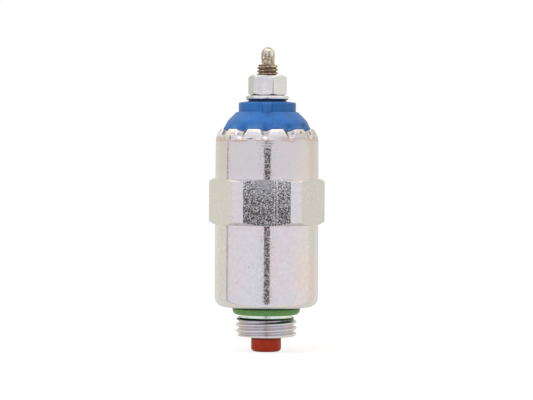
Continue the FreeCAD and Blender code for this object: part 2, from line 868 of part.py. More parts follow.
pieces = [
    make_housing(),
    make_nose_ring(),
    make_cap(),
    make_stud(),
    make_solder(),
    make_nut(),
    make_washer(),
    flat_ring("stud_seal", stud_hole_radius, radius("stud_head_diameter"), head_top, head_ceiling),
    flat_ring("cap_seal", cap_radius - size("cap_seal_width"), cap_radius, plate_top, cap_base),
    make_end_plate(),
    make_pole_core(),
    flat_ring("antistick_shim", pocket_radius, plunger_radius, pole_face - size("shim_thickness"), pole_face),
    flat_ring("guide_sleeve", radius("sleeve_bore"), sleeve_radius, ledge_height, sleeve_top),
    flat_ring("lower_sleeve_seal", lower_seal_bore, lower_seal_bore + seal_section,
              floor_height, floor_height + seal_section),
    flat_ring("upper_sleeve_seal", upper_seal_bore, upper_seal_bore + seal_section,
              plate_bottom - seal_section, plate_bottom),
    make_bobbin(),
    flat_ring("winding", bobbin_hub_radius + size("seal_gap"), winding_radius, winding_bottom, winding_top),
    flat_ring("winding_tape", winding_radius + size("seal_gap"), winding_radius + size("tape_thickness"),
              winding_bottom, winding_top),
    make_disc_spring(),
    make_feed_lead(),
    make_earth_lead(),
    make_plunger(),
    make_valve_tip(),
    make_spring(),
]
doc.recompute()

for item in doc.Objects:
    faults = [state for state in item.State if state in ("Invalid", "Error")]
    if faults:
        raise RuntimeError(f"{item.Label} did not build: {faults}")
for piece in pieces:
    if piece.Shape.isNull() or not piece.Shape.isValid() or not piece.Shape.Solids:
        raise RuntimeError(f"{piece.Label} has no sound solid")

os.makedirs("parts", exist_ok=True)
for piece in pieces:
    piece.Shape.exportStep(os.path.join("parts", f"{piece.Label}.step"))
    print(piece.Label, len(piece.Shape.Solids), "solid", round(piece.Shape.Volume, 2), "cubic mm")
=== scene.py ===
"""Fuel shutoff solenoid: plated housing, blue crimped cap, soldered terminal and a sprung valve tip."""

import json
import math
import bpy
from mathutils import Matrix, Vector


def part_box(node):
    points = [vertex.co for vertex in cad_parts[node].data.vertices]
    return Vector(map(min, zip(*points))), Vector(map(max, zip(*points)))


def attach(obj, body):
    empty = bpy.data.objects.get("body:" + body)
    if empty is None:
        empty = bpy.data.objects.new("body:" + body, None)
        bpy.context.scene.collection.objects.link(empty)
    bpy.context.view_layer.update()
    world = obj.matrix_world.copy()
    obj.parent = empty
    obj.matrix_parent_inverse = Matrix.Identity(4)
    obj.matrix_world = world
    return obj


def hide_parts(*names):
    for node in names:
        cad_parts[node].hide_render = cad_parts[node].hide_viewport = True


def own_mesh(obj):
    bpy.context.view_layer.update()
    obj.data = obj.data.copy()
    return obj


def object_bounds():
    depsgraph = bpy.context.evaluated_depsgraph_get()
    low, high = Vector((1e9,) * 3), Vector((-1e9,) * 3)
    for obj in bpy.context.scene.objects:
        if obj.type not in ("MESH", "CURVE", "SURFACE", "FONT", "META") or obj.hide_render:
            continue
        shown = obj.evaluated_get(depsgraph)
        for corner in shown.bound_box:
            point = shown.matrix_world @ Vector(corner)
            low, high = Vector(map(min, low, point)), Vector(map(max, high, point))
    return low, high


bl_info = {
    "name": "Fuel Shutoff Solenoid",
    "version": (1, 0, 0),
    "blender": (4, 5, 0),
    "location": "3D View > Sidebar > Solenoid",
    "description": "Builds the detailed pieces and finishes of a fuel shutoff solenoid on its packed model",
    "category": "Object",
}

import bpy
import numpy as np
from bpy.props import FloatProperty, FloatVectorProperty, IntProperty, PointerProperty
from bpy.types import Operator, Panel, PropertyGroup
from mathutils import Matrix, Vector

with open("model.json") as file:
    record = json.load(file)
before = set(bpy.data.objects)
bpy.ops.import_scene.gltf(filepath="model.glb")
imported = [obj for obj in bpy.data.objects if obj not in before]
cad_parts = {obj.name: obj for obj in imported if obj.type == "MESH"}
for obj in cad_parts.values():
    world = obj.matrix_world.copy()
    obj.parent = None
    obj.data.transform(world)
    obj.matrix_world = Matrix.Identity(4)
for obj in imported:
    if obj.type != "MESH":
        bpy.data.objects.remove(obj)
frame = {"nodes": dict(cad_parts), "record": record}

CAD_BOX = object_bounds()
MM = 0.001
FULL_TURN = 2 * math.pi
QUARTER_TURN = math.pi / 2
WHITE = (1.0, 1.0, 1.0, 1.0)
SOLENOID_BODY = "solenoid_body"
PLUNGER_BODY = "plunger_body"

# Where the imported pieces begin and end
HOUSING_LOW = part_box("housing")[0]
CAP_LOW, CAP_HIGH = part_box("terminal_cap")
STUD_LOW, STUD_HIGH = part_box("terminal_stud")
NUT_LOW, NUT_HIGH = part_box("terminal_nut")
WASHER_LOW, WASHER_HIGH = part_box("terminal_washer")
TIP_LOW, TIP_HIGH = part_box("valve_tip")
RING_LOW, RING_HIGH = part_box("nose_o_ring")
SPRING_LOW, SPRING_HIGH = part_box("return_spring")
SOLDER_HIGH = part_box("solder_tip")[1]

# Painted shade marks on the rim's front, under the lip and beside flutes.
# Middle along X and Z, half width and height in millimetres, strength and colour
RIM_SHADE_MARKS = (
    (-6.4, 38.5, 1.9, 0.3, 0.7, (0.50, 0.35, 0.29, 1.0)),
    (-4.0, 39.0, 0.85, 0.13, 0.85, (0.10, 0.10, 0.10, 1.0)),
    (5.3, 39.0, 1.0, 0.12, 0.5, (0.16, 0.16, 0.15, 1.0)),
    (7.7, 40.5, 0.22, 0.4, 0.8, (0.20, 0.10, 0.05, 1.0)),
    (-8.4, 39.2, 0.16, 0.5, 0.6, (0.12, 0.11, 0.08, 1.0)),
)


# Settings that a user would change

def length(name, description, millimetres):
    return FloatProperty(name=name, description=description, default=millimetres * MM, min=0.0,
                         unit="LENGTH", precision=5)


def angle(name, description, degrees):
    return FloatProperty(name=name, description=description, default=math.radians(degrees), unit="ROTATION")


def amount(name, description, default, least):
    return IntProperty(name=name, description=description, default=default, min=least)


def colour(name, description, red, green, blue):
    return FloatVectorProperty(name=name, description=description, default=(red, green, blue, 1.0), size=4,
                               min=0.0, max=1.0, subtype="COLOR")


class SOLENOID_PG_housing(PropertyGroup):
    """Sizes of the plated housing."""
    flat_columns: amount("Columns on a flat", "Faces across one of the collar's flats", 57, 4)
    round_columns: amount("Columns on a corner", "Faces round one of the collar's corners", 15, 2)
    barrel: length("Barrel radius", "Radius of the barrel", 12.0)
    foot_round: length("Foot rounding", "Rounding between the barrel and its seat face", 2.2)
    flats: amount("Flats", "Number of flats on the collar", 6, 3)
    flat_turn: angle("Flat turn", "Turn of the first flat from the X axis", 30.0)
    collar: length("Collar radius", "Radius of the collar over its corners", 13.45)
    flat: length("Flat distance", "Distance of the collar's flats from the axis", 12.3)
    collar_low: length("Collar bottom", "Height of the collar's underside", 19.1)
    collar_high: length("Collar top", "Height of the collar's upper side", 29.7)
    collar_low_chamfer: length("Lower chamfer", "Width of the collar's lower chamfer", 1.2)
    collar_high_chamfer: length("Upper chamfer", "Width of the collar's upper chamfer", 0.9)
    chamfer_angle: angle("Chamfer angle", "Slope of the collar's chamfers", 31.0)
    shoulder: length("Shoulder height", "Height where the rim begins to roll inwards", 38.3)
    crimp: length("Crimp radius", "Radius of the rolled rim", 4.8)
    crimp_angle: angle("Crimp angle", "How far the rim is rolled", 40.3)
    rim_wall: length("Rim wall", "Thickness of the rolled rim", 1.0)
    neck: length("Neck radius", "Radius of the neck that carries the ring seal", 6.05)
    recess: length("Recess radius", "Radius of the shallow recess round the neck", 7.95)
    recess_depth: length("Recess depth", "Depth of the shallow recess round the neck", 0.15)
    thread_top: length("Neck length", "Length of the neck between seat face and thread", 2.45)
    thread: length("Thread radius", "Radius over the crests of the nose thread", 7.1)
    thread_pitch: length("Thread pitch", "Pitch of the nose thread", 1.411)
    thread_depth: length("Thread depth", "Depth of the nose thread", 0.78)
    thread_chamfer: length("Thread chamfer", "Chamfer at both ends of the nose thread", 0.55)
    thread_crest: length("Crest height", "Distance of a crest below the seat face, on the X axis", 3.52)
    bore: length("Nose bore", "Radius of the bore in the nose", 3.8)


class SOLENOID_PG_flutes(PropertyGroup):
    """Sizes of the flutes pressed into the rolled rim."""
    count: amount("Flutes", "Number of flutes round the rim", 12, 3)
    turn: angle("Turn", "Turn of the first flute from the X axis", -2.1)
    tip: length("Punch edge", "Rounding of the wedge-shaped punch's edge", 0.75)
    wedge: angle("Punch angle", "Slope of the punch's two sides", 47.0)
    depth: length("Depth", "Depth of a flute at the rim's edge", 0.78)
    tilt: angle("Tilt", "Slope of the flutes", 46.8)
    softness: length("Softness", "Softness of the flutes' edges", 0.75)
    lip: length("Lip height", "Height of the metal raised round a flute", 0.12)
    lip_width: length("Lip width", "Width of the metal raised round a flute", 0.5)
    uneven: length("Unevenness", "How much the flutes differ from one another", 0.09)


class SOLENOID_PG_cap(PropertyGroup):
    """Sizes of the blue cap."""
    columns: amount("Columns", "Faces round the cap", 360, 48)
    cone_top: length("Cone top radius", "Radius of the cone at its top", 7.15)
    cone_foot: length("Cone foot radius", "Radius of the cone where it meets the rim", 10.25)
    dent_rise: length("Dent rise", "How far the flutes' dents climb up the cone", 1.3)
    cone_height: length("Cone height", "Height of the cone's top", 45.2)
    ring: length("Ring radius", "Radius of the ring above the cone", 6.65)
    ring_height: length("Ring height", "Height of the ring's upper edge", 47.4)
    ring_round: length("Ring rounding", "Rounding of the ring's upper edge", 0.35)
    rib: length("Rib radius", "Radius of the upright rib", 1.08)
    boss: length("Boss radius", "Radius of the boss under the washer", 4.4)


class SOLENOID_PG_terminal(PropertyGroup):
    """Sizes of the stud, the solder, the nut and the washer."""
    columns: amount("Columns", "Faces round the nut and the washer, twice those round the stud", 240, 48)
    thread: length("Thread radius", "Radius over the crests of the stud's thread", 2.475)
    thread_pitch: length("Thread pitch", "Pitch of the stud's thread", 0.8)
    thread_depth: length("Thread depth", "Depth of the stud's thread", 0.46)
    shank_top: length("Shank top", "Height of the threaded shank's end", 56.2)
    pin_aside: length("Pin offset", "How far the pin stands off the stud's axis", 0.12)
    pin: length("Pin radius", "Radius of the soldered pin", 1.52)
    solder: length("Solder thickness", "Thickness of the solder on the pin", 0.10)
    nut_flat: length("Nut flats", "Distance of the nut's flats from the axis", 4.0)
    nut_turn: angle("Nut turn", "Turn of the nut from the X axis", 17.8)
    nut_face: length("Nut face", "Radius of the nut's flat faces", 3.75)
    washer_bore: length("Washer bore", "Radius of the washer's hole", 2.65)


class SOLENOID_PG_colours(PropertyGroup):
    """Colours of the finishes."""
    zinc: colour("Zinc plate", "Bright zinc plate of the housing", 0.62, 0.605, 0.62)
    zinc_satin: colour("Satin zinc", "Satin zinc plate of the nut and washer", 0.655, 0.66, 0.668)
    cap: colour("Cap", "Blue moulded plastic", 0.015, 0.086, 0.262)
    seal: colour("Ring seal", "Green rubber of the ring seal", 0.076, 0.182, 0.053)
    tip: colour("Valve tip", "Red rubber of the valve tip", 0.32, 0.026, 0.006)
    brass: colour("Brass", "Dulled brass of the stud", 0.48, 0.405, 0.31)
    solder: colour("Solder", "Solder on the pin", 0.72, 0.70, 0.655)
    steel: colour("Steel", "Bare steel inside", 0.50, 0.50, 0.51)
    bobbin: colour("Coil former", "Plastic of the coil former", 0.62, 0.57, 0.42)
    copper: colour("Copper", "Enamelled copper wire", 0.62, 0.22, 0.08)
    black: colour("Black rubber", "Rubber of the inner seals", 0.02, 0.02, 0.02)
    tape: colour("Tape", "Tape round the winding", 0.70, 0.50, 0.10)
    lead: colour("Lead", "Sleeve of the wire to the terminal", 0.45, 0.03, 0.02)


# Mesh tools

def smooth_min(first, second, softness):
    return 0.5 * (first + second - np.sqrt((first - second) ** 2 + softness ** 2))


def smooth_max(first, second, softness):
    return 0.5 * (first + second + np.sqrt((first - second) ** 2 + softness ** 2))


def turns(columns):
    """Angles of the columns round the axis."""
    return np.linspace(0.0, FULL_TURN, columns + 1)[:-1]


def rounded(corners, steps=6):
    """Corners (radius, height, rounding) as a line of points, each corner with its arc.

    Radius and height may vary from column to column.
    """
    line = []
    for index, (across, up, bend) in enumerate(corners):
        if not bend:
            line.append((across, up))
            continue
        here = across + 1j * up
        back = corners[index - 1][0] + 1j * corners[index - 1][1] - here
        ahead = corners[(index + 1) % len(corners)][0] + 1j * corners[(index + 1) % len(corners)][1] - here
        back, ahead = back / abs(back), ahead / abs(ahead)
        half = np.angle(back / ahead) / 2
        reach = bend / np.abs(np.tan(half))
        centre = here + (back + ahead) / abs(back + ahead) * bend / np.abs(np.sin(half))
        start, stop = here + back * reach - centre, here + ahead * reach - centre
        for share in np.linspace(0.0, 1.0, steps + 1):
            spoke = start * (1 - share) + stop * share
            point = centre + spoke * bend / abs(spoke)
            line.append((point.real, point.imag))
    return line


def ring_row(across, up, angles):
    """A row of points round the axis. Radius and height may vary from column to column."""
    across = across + 0.0 * angles
    return np.stack([across * np.cos(angles), across * np.sin(angles), up + 0.0 * angles], axis=1)


def ring_rows(line, angles):
    """One row round the axis for each radius and height of a line."""
    return [ring_row(across, up, angles) for across, up in line]


def skin(rows, wraps=True, closes=False):
    """Points and faces of a net of rows. It faces outwards when the rows climb on the outside."""
    net = np.array(rows)
    count, columns = net.shape[:2]
    numbers = np.arange(count * columns).reshape(count, columns)
    if wraps:
        numbers = np.concatenate([numbers, numbers[:, :1]], axis=1)
    if closes:
        numbers = np.concatenate([numbers, numbers[:1]], axis=0)
    faces = np.stack([numbers[:-1, :-1], numbers[:-1, 1:], numbers[1:, 1:], numbers[1:, :-1]], axis=2)
    return net.reshape(-1, 3), faces.reshape(-1, 4)


def make_piece(name, patches, sharp_angle=40.0):
    """A smooth-shaded object from several nets that share their borders, edges sharp above an angle."""
    points, faces, start = [], [], 0
    for net_points, net_faces in patches:
        points.append(net_points)
        faces.append(net_faces + start)
        start += len(net_points)
    points = np.concatenate(points)
    mesh = bpy.data.meshes.new(name)
    keys = np.round(points / (0.0005 * MM)).astype(np.int64)
    _, first, same = np.unique(keys, axis=0, return_index=True, return_inverse=True)
    faces = same.reshape(-1)[np.concatenate(faces)]
    polygons = []
    for face in faces.tolist():
        corners = [corner for index, corner in enumerate(face) if corner != face[index - 1]]
        if len(set(corners)) > 2:
            polygons.append(corners)
    mesh.from_pydata(points[first].tolist(), [], polygons)
    mesh.validate()
    mesh.shade_smooth()
    mesh.set_sharp_from_angle(angle=math.radians(sharp_angle))
    piece = bpy.data.objects.new(name, mesh)
    bpy.context.scene.collection.objects.link(piece)
    return piece


def lathe(name, line, columns, closes=True, sharp_angle=40.0):
    """A turned piece from its outline, which climbs on the outside."""
    return make_piece(name, [skin(ring_rows(line, turns(columns)), closes=closes)], sharp_angle)


def from_facet(angles, facets, turn):
    """Angle from the middle of the nearest of several facets round the axis."""
    step = FULL_TURN / facets
    return (angles - turn + step / 2) % step - step / 2


def thread_reach(angles, heights, crest, depth, pitch, crest_height, softness):
    """Radius of a right-hand vee thread whose crest passes the X axis at a given height."""
    flank = math.tan(math.radians(30.0))
    place = (heights - crest_height) / pitch - angles / FULL_TURN
    from_crest = np.abs(place - np.round(place)) * pitch
    crest_half = pitch / 2 - depth * flank - pitch / 16
    slope = crest + (crest_half - from_crest) / flank
    return smooth_min(smooth_max(slope, crest - depth, softness), crest + softness / 4, softness)


def threaded_net(reach, low, high, pitch, angles, per_turn=18):
    """A net whose rows climb with the thread and are held at its two ends."""
    around = np.append(angles, angles[0] + FULL_TURN)
    step = pitch / per_turn
    rows = []
    for index in range(-per_turn, math.ceil((high - low) / step) + 1):
        heights = np.clip(low + step * index + pitch * (around - around[0]) / FULL_TURN, low, high)
        rows.append(ring_row(reach(around, heights), heights, around))
    return skin(rows, wraps=False)


# Node trees

def calculation(operation, swapped=False):
    """A method that makes a math node from a value and the other one it is reckoned with, if there is one."""
    def method(self, *others):
        values = (*others, self) if swapped else (self, *others)
        return self.nodes.math(operation, *values)
    return method


class Value:
    """What a node gives out. Sums, products and comparisons of values become math nodes."""

    def __init__(self, nodes, socket):
        self.nodes = nodes
        self.socket = socket

    __add__ = calculation("ADD")
    __sub__ = calculation("SUBTRACT")
    __rsub__ = calculation("SUBTRACT", swapped=True)
    __mul__ = calculation("MULTIPLY")
    __truediv__ = calculation("DIVIDE")
    __abs__ = calculation("ABSOLUTE")
    __lt__ = calculation("LESS_THAN")
    __gt__ = calculation("GREATER_THAN")


class Nodes:
    """Adds nodes to a tree and connects them."""

    def __init__(self, tree, place):
        self.tree = tree
        self.place = self.node("ShaderNodeTexCoord", {}, place)

    def set(self, node, values):
        """Give a node's inputs, by name or number, a constant or another node's value."""
        for name, value in values.items():
            if isinstance(value, Value):
                self.tree.links.new(value.socket, node.inputs[name])
            else:
                node.inputs[name].default_value = value

    def node(self, kind, values, output=0, **settings):
        made = self.tree.nodes.new(kind)
        for name, value in settings.items():
            setattr(made, name, value)
        self.set(made, values)
        return Value(self, made.outputs[output])

    def math(self, operation, *values):
        return self.node("ShaderNodeMath", dict(enumerate(values)), operation=operation)

    def mix(self, factor, first, second):
        """Two colours, from the first to the second as the factor goes from 0 to 1."""
        return self.node("ShaderNodeMix", {0: factor, 6: first, 7: second}, 2, data_type="RGBA")

    def axis(self, name):
        """The place along the axis X, Y or Z."""
        return self.node("ShaderNodeSeparateXYZ", {"Vector": self.place}, name)


class Finish(Nodes):
    """A material on one Principled shader. Its patterns are laid out in real lengths."""

    def __init__(self, name, base, metal=0.0, rough=0.5, gloss=0.5):
        self.material = bpy.data.materials.new(name)
        self.material.use_nodes = True
        self.material.diffuse_color = base
        super().__init__(self.material.node_tree, "Object")
        self.shader = self.tree.nodes["Principled BSDF"]
        self.set(self.shader, {"Base Color": base, "Metallic": metal, "Roughness": rough,
                               "Specular IOR Level": gloss})
        self.tone = base
        self.normal = None

    def stretched(self, x, y, z):
        """The surface's place, with each axis scaled."""
        return self.node("ShaderNodeMapping", {"Vector": self.place, "Scale": (x, y, z)})

    def distance(self, vector):
        return self.node("ShaderNodeVectorMath", {"Vector": vector}, "Value", operation="LENGTH")

    def noise(self, size, detail=3.0, vector=None, distortion=0.0):
        """Soft spots of about this size."""
        return self.node("ShaderNodeTexNoise", {
            "Vector": vector or self.place, "Scale": 1.0 / size, "Detail": detail, "Distortion": distortion})

    def band(self, value, low, high, floor=0.0, top=1.0):
        """Stretch the values between low and high over the values between floor and top."""
        return self.node("ShaderNodeMapRange", {
            "Value": value, "From Min": low, "From Max": high, "To Min": floor, "To Max": top})

    def fade(self, value, low, high, top=1.0):
        """Falls from the top to 0 between low and high."""
        return self.band(value, low, high, top, 0.0)

    def stripe(self, value, middle, inner, outer, top=1.0):
        """A soft-edged stripe where a value is near its middle."""
        return self.fade(abs(value - middle), inner, outer, top)

    def patches(self, size, low, high, floor=0.0, top=1.0, detail=3.0):
        """Soft patches of about this size, where the noise rises from low to high."""
        return self.band(self.noise(size, detail), low, high, floor, top)

    def mark(self, x, z, half_width, half_height):
        """A soft-edged spot on the front, by its middle and its half sizes in millimetres."""
        across, up = 1 / (half_width * MM), 1 / (half_height * MM)
        middle = (-x * MM * across, 0.0, -z * MM * up)
        away = self.node("ShaderNodeMapping", {
            "Vector": self.place, "Scale": (across, 0.0, up), "Location": middle})
        return self.fade(self.distance(away), 0.7, 1.2) * (self.axis("Y") < 0.0)

    def paint(self, colour, where):
        """Lay a colour over the surface, as thickly as a share or a mask says."""
        self.tone = self.mix(where, self.tone, colour)

    def bump(self, height, depth, strength=1.0):
        """Raise the surface by a height, on top of the bumps that it has."""
        values = {"Height": height, "Distance": depth, "Strength": strength}
        if self.normal is not None:
            values["Normal"] = self.normal
        self.normal = self.node("ShaderNodeBump", values)

    def finished(self, rough=None):
        """The material, with the colours, the bumps and the roughness connected."""
        self.set(self.shader, {"Base Color": self.tone, "Normal": self.normal})
        if rough is not None:
            self.set(self.shader, {"Roughness": rough})
        return self.material


# Finishes

def shade(base, factor, warm=0.0):
    """A darker or lighter, warmer or cooler kind of a colour."""
    return (min(1.0, base[0] * factor * (1 + warm)), min(1.0, base[1] * factor),
            min(1.0, base[2] * factor * (1 - warm)), 1.0)


def tint(base, red, green, blue):
    return (base[0] * red, base[1] * green, base[2] * blue, 1.0)


def mottle(finish, value, low, high, first, second):
    """Give a finish a first colour, and a second one where a value rises from low to high."""
    finish.tone = first
    finish.paint(second, finish.band(value, low, high))


def zinc_plate(base, shoulder, neck_shade_height, neck_shade_reach):
    """Bright zinc plate of the housing: tinted and finely pitted,
    with painted highlights and shade at its rim, and painted shade and reflection round its neck.
    """
    finish = Finish("zinc_plate", base, metal=1.0)
    unpitted = paint_zinc(finish, base)
    height = finish.axis("Z")
    deep = finish.node("ShaderNodeAttribute", {}, "Fac", attribute_name="flute_depth")
    finish.paint(shade(base, 0.88, 0.01), finish.band(height, 28 * MM, 32 * MM, 0.0, 0.6))
    paint_rim_light_and_shade(finish, base, shoulder, height, deep)
    paint_shoulder_light_and_shade(finish, base, shoulder, height, deep)
    # Dark marks of painted shade on the rim's front
    for x, z, half_width, half_height, strength, shade_colour in RIM_SHADE_MARKS:
        finish.paint(shade_colour, finish.mark(x, z, half_width, half_height) * strength)
    paint_neck_shade_and_reflection(finish, base, height, neck_shade_height, neck_shade_reach)

    rough = finish.patches(2.5 * MM, 0.3, 0.7, 0.06, 0.11, 4.0) + finish.band(deep, 0.0, 0.25) * 0.14
    rough = rough + finish.stripe(height, shoulder, 0.7 * MM, 1.2 * MM, 0.13)
    rough = finish.math("MAXIMUM", rough, (height < -0.5 * MM) * 0.25)
    finish.bump(finish.patches(0.36 * MM, 0.56, 0.68, detail=1.0), 0.013 * MM, 0.8)
    finish.bump(finish.noise(0.8 * MM, 2.0), 0.012 * MM, 0.6)
    finish.bump(unpitted, 0.02 * MM, 0.6)
    return finish.finished(rough)


def paint_zinc(finish, base):
    """Faint blue, pink and straw tints, a mottled grain and a few pits. Returns where there is no pit."""
    tints = finish.noise(8 * MM, 2.0, finish.stretched(1.0, 1.0, 0.6), 0.6)
    mottle(finish, tints, 0.35, 0.65, tint(base, 0.91, 1.02, 1.07), tint(base, 1.08, 0.97, 1.03))
    finish.paint(tint(base, 1.03, 1.0, 0.89), finish.patches(5 * MM, 0.5, 0.72, top=0.8))
    grain = finish.patches(0.9 * MM, 0.3, 0.7, detail=4.0)
    finish.paint(finish.mix(grain, shade(base, 0.88), shade(base, 1.1)), 0.45)
    cell = 1.6 * MM
    cells = finish.node("ShaderNodeTexVoronoi", {"Vector": finish.place, "Scale": 1.0 / cell}, "Distance")
    clean = 1.0 - finish.patches(3 * MM, 0.56, 0.62)
    unpitted = finish.math("MAXIMUM", finish.band(cells, 0.06, 0.11), clean)
    finish.tone = finish.mix(unpitted, shade(base, 0.5), finish.tone)
    return unpitted


def paint_rim_light_and_shade(finish, base, shoulder, height, deep):
    """The rolled rim: a painted highlight on the left and in the middle, painted shade on the right and in its
    flutes.
    """
    aside = finish.axis("X")
    rim = finish.band(height, shoulder + 1.0 * MM, shoulder + 1.7 * MM)
    # Painted highlight on the rim's left and middle
    finish.paint(shade(base, 1.45, 0.01), rim * finish.fade(aside, 2.0 * MM, 6.0 * MM, 0.42))
    # Painted shade on the rim's right
    finish.paint(shade(base, 0.5), rim * finish.band(aside, 4.0 * MM, 7.0 * MM, 0.0, 0.3))
    in_flutes = finish.band(height, shoulder + 1.2 * MM, shoulder + 1.7 * MM)
    # Painted shade inside the flutes
    finish.paint(shade(base, 0.65, 0.03), finish.band(deep, 0.2, 0.5) * in_flutes)


def paint_shoulder_light_and_shade(finish, base, shoulder, height, deep):
    """Painted light along the rolled shoulder: a band of shade with a patchy highlight left of the middle,
    reddish shade under the lip and along its foot, and shade along the flutes' walls.
    """
    aside = finish.axis("X")
    crease = abs(deep + finish.patches(2 * MM, 0.3, 0.7, 0.45, 0.8))
    patches = finish.patches(3.2 * MM, 0.4, 0.52, detail=2.0)
    wander = finish.patches(1.5 * MM, 0.3, 0.7, -0.12 * MM, 0.12 * MM, 2.0)
    above = height + wander - shoulder
    highlight_and_shade_band = finish.stripe(above, 0.85 * MM, 0.25 * MM, 0.5 * MM)
    highlight_side = finish.fade(aside, 1.5 * MM, 3.5 * MM) * finish.band(aside, -9.6 * MM, -9.0 * MM)
    # Painted shade on the band along the shoulder
    finish.paint(shade(base, 0.79, 0.01), highlight_and_shade_band * (1.0 - highlight_side))
    highlight_patches = finish.math("MAXIMUM", patches, finish.band(deep, -0.75, -0.4))
    # Patchy painted highlight on the band, left of the middle
    finish.paint(shade(base, 1.14, -0.01), highlight_and_shade_band * highlight_side * highlight_patches)
    # Reddish painted shade under the lip and along its foot
    line = finish.stripe(above, 0.3 * MM, 0.07 * MM, 0.2 * MM, 0.8) * (deep < 0.0)
    foot = finish.fade(height, shoulder + 0.6 * MM, shoulder + 1.2 * MM)
    stain_and_shade = finish.math("MAXIMUM", line, finish.fade(crease, 0.08, 0.24) * foot)
    finish.paint(tint(base, 0.86, 0.66, 0.57), stain_and_shade * patches)
    # Painted shade along the flutes' walls
    flute_wall_shade = finish.stripe(deep, 0.2, 0.2, 0.4) * finish.patches(1.3 * MM, 0.36, 0.54, 0.2, 1.0, 2.0)
    flute_wall_shade = flute_wall_shade * finish.band(height, shoulder + 1.0 * MM, shoulder + 1.8 * MM)
    finish.paint(tint(base, 0.3, 0.33, 0.36), flute_wall_shade)


def paint_neck_shade_and_reflection(finish, base, height, neck_shade_height, neck_shade_reach):
    """A painted green reflection of the ring seal on the neck's lower end,
    and under it a ragged dark band of painted shade.
    """
    # Painted green reflection of the ring seal
    finish.paint(tint(base, 1.1, 1.3, 1.13), (height < -1.5 * MM) * (height > neck_shade_height))
    # Ragged dark band of painted shade under the seal
    ragged = height + finish.patches(1.2 * MM, 0.3, 0.7, -0.03 * MM, 0.03 * MM)
    oil_and_shade = finish.stripe(ragged, neck_shade_height, 0.2 * MM, 0.25 * MM)
    across = finish.distance(finish.stretched(1.0, 1.0, 0.0))
    finish.paint((0.012, 0.03, 0.024, 1.0), oil_and_shade * (across < neck_shade_reach))


def milled_zinc(base, front):
    """The collar's flats: crystals, a smooth patch near the top and two fine lines in front.
    The front flat is painted darker and with more contrast, as a dark reflection.
    """
    base = tint(base, 0.985, 1.01, 0.99)
    finish = Finish("zinc_milled_flat", base, metal=1.0)
    x = finish.axis("X")
    wander = finish.patches(1.1 * MM, 0.3, 0.7, -0.5, 0.5, 2.0)
    aside = abs((x + 0.75 * MM) / (2.0 * MM))
    below = (28.6 * MM - finish.axis("Z")) / (1.7 * MM)
    clear = finish.fade(finish.math("MAXIMUM", aside, below) + wander, 0.8, 1.1)
    crystals = finish.patches(0.4 * MM, 0.3, 0.7, detail=1.0)
    finish.bump(crystals * (1.0 - clear * 0.65), 0.025 * MM)
    nearest = finish.math("MINIMUM", abs(x - 1.75 * MM), abs(x - 2.35 * MM))
    on_front = finish.axis("Y") < 0.05 * MM - front
    drawn = finish.fade(nearest, 0.03 * MM, 0.09 * MM) * on_front
    finish.bump(drawn, 0.008 * MM)
    # The front flat's tone: crystals and smooth patch painted dark as a reflection, with two light lines
    mottle(finish, crystals, 0.3, 0.75, shade(base, 0.5, -0.04), shade(base, 1.1, -0.01))
    finish.paint(shade(base, 0.68, -0.05), clear * 0.7)
    finish.paint(shade(base, 1.2, -0.02), drawn * 0.6)
    front_reflection_tone = finish.tone
    # Plain crystals for the other flats, then the front's painted reflection over them
    mottle(finish, crystals, 0.2, 0.8, shade(base, 0.93, -0.02), shade(base, 1.03, -0.01))
    finish.paint(front_reflection_tone, on_front)
    return finish.finished(finish.band(clear, 0.0, 1.0, 0.06, 0.28))


def satin_zinc(base):
    """Satin zinc of the fasteners, with upright marks and dull spots,
    painted shade on the left and a cooler painted reflection on the right.
    """
    finish = Finish("zinc_satin", base, metal=1.0)
    spots = finish.noise(1.4 * MM, 4.0)
    marks = finish.noise(0.28 * MM, 3.0, finish.stretched(1.0, 1.0, 0.12))
    aside = finish.axis("X")
    mottle(finish, spots, 0.35, 0.65, shade(base, 0.88), shade(base, 1.06))
    finish.paint(shade(base, 0.78), finish.band(marks, 0.45, 0.7, 0.0, 0.5))
    # Painted shade on the left
    finish.paint(shade(base, 0.72, -0.06), finish.fade(aside, -3.3 * MM, -3.0 * MM))
    # Painted cooler reflection on the right
    finish.paint(shade(base, 0.93, -0.06), finish.band(aside, 1.5 * MM, 1.9 * MM, 0.0, 0.5))
    finish.bump(marks, 0.02 * MM, 0.6)
    finish.bump(finish.noise(0.5 * MM), 0.015 * MM, 0.5)
    return finish.finished(finish.band(spots, 0.3, 0.7, 0.18, 0.28))


def blue_plastic(base, foot, boss):
    """Moulded plastic with a faint grain, rubbed paler and smudged along its foot.
    Its boss under the washer has painted shade.
    """
    finish = Finish("blue_plastic", base, rough=0.42, gloss=0.17)
    clouds = finish.noise(2.2 * MM)
    height = finish.axis("Z")
    mottle(finish, clouds, 0.3, 0.7, shade(base, 0.86), shade(base, 1.14))
    rubbed = finish.fade(height, foot, foot + 1.6 * MM) * finish.patches(1.0 * MM, 0.42, 0.62, detail=4.0)
    finish.paint((0.065, 0.145, 0.27, 1.0), rubbed * 0.7)
    level = finish.noise(2.4 * MM, 3.0, finish.stretched(1.0, 1.0, 2.2))
    smudges = finish.fade(height, foot + 0.3 * MM, foot + 2.2 * MM) * finish.band(level, 0.52, 0.64)
    finish.paint(shade(base, 0.5, 0.2), smudges * 0.55)
    # Painted shade on the boss under the washer
    finish.paint(shade(base, 0.35), finish.band(height, boss - 0.05 * MM, boss + 0.15 * MM, 0.0, 0.9))
    finish.bump(finish.noise(0.14 * MM), 0.012 * MM, 0.5)
    finish.bump(clouds, 0.05 * MM, 0.5)
    return finish.finished(finish.band(clouds, 0.3, 0.7, 0.32, 0.46))


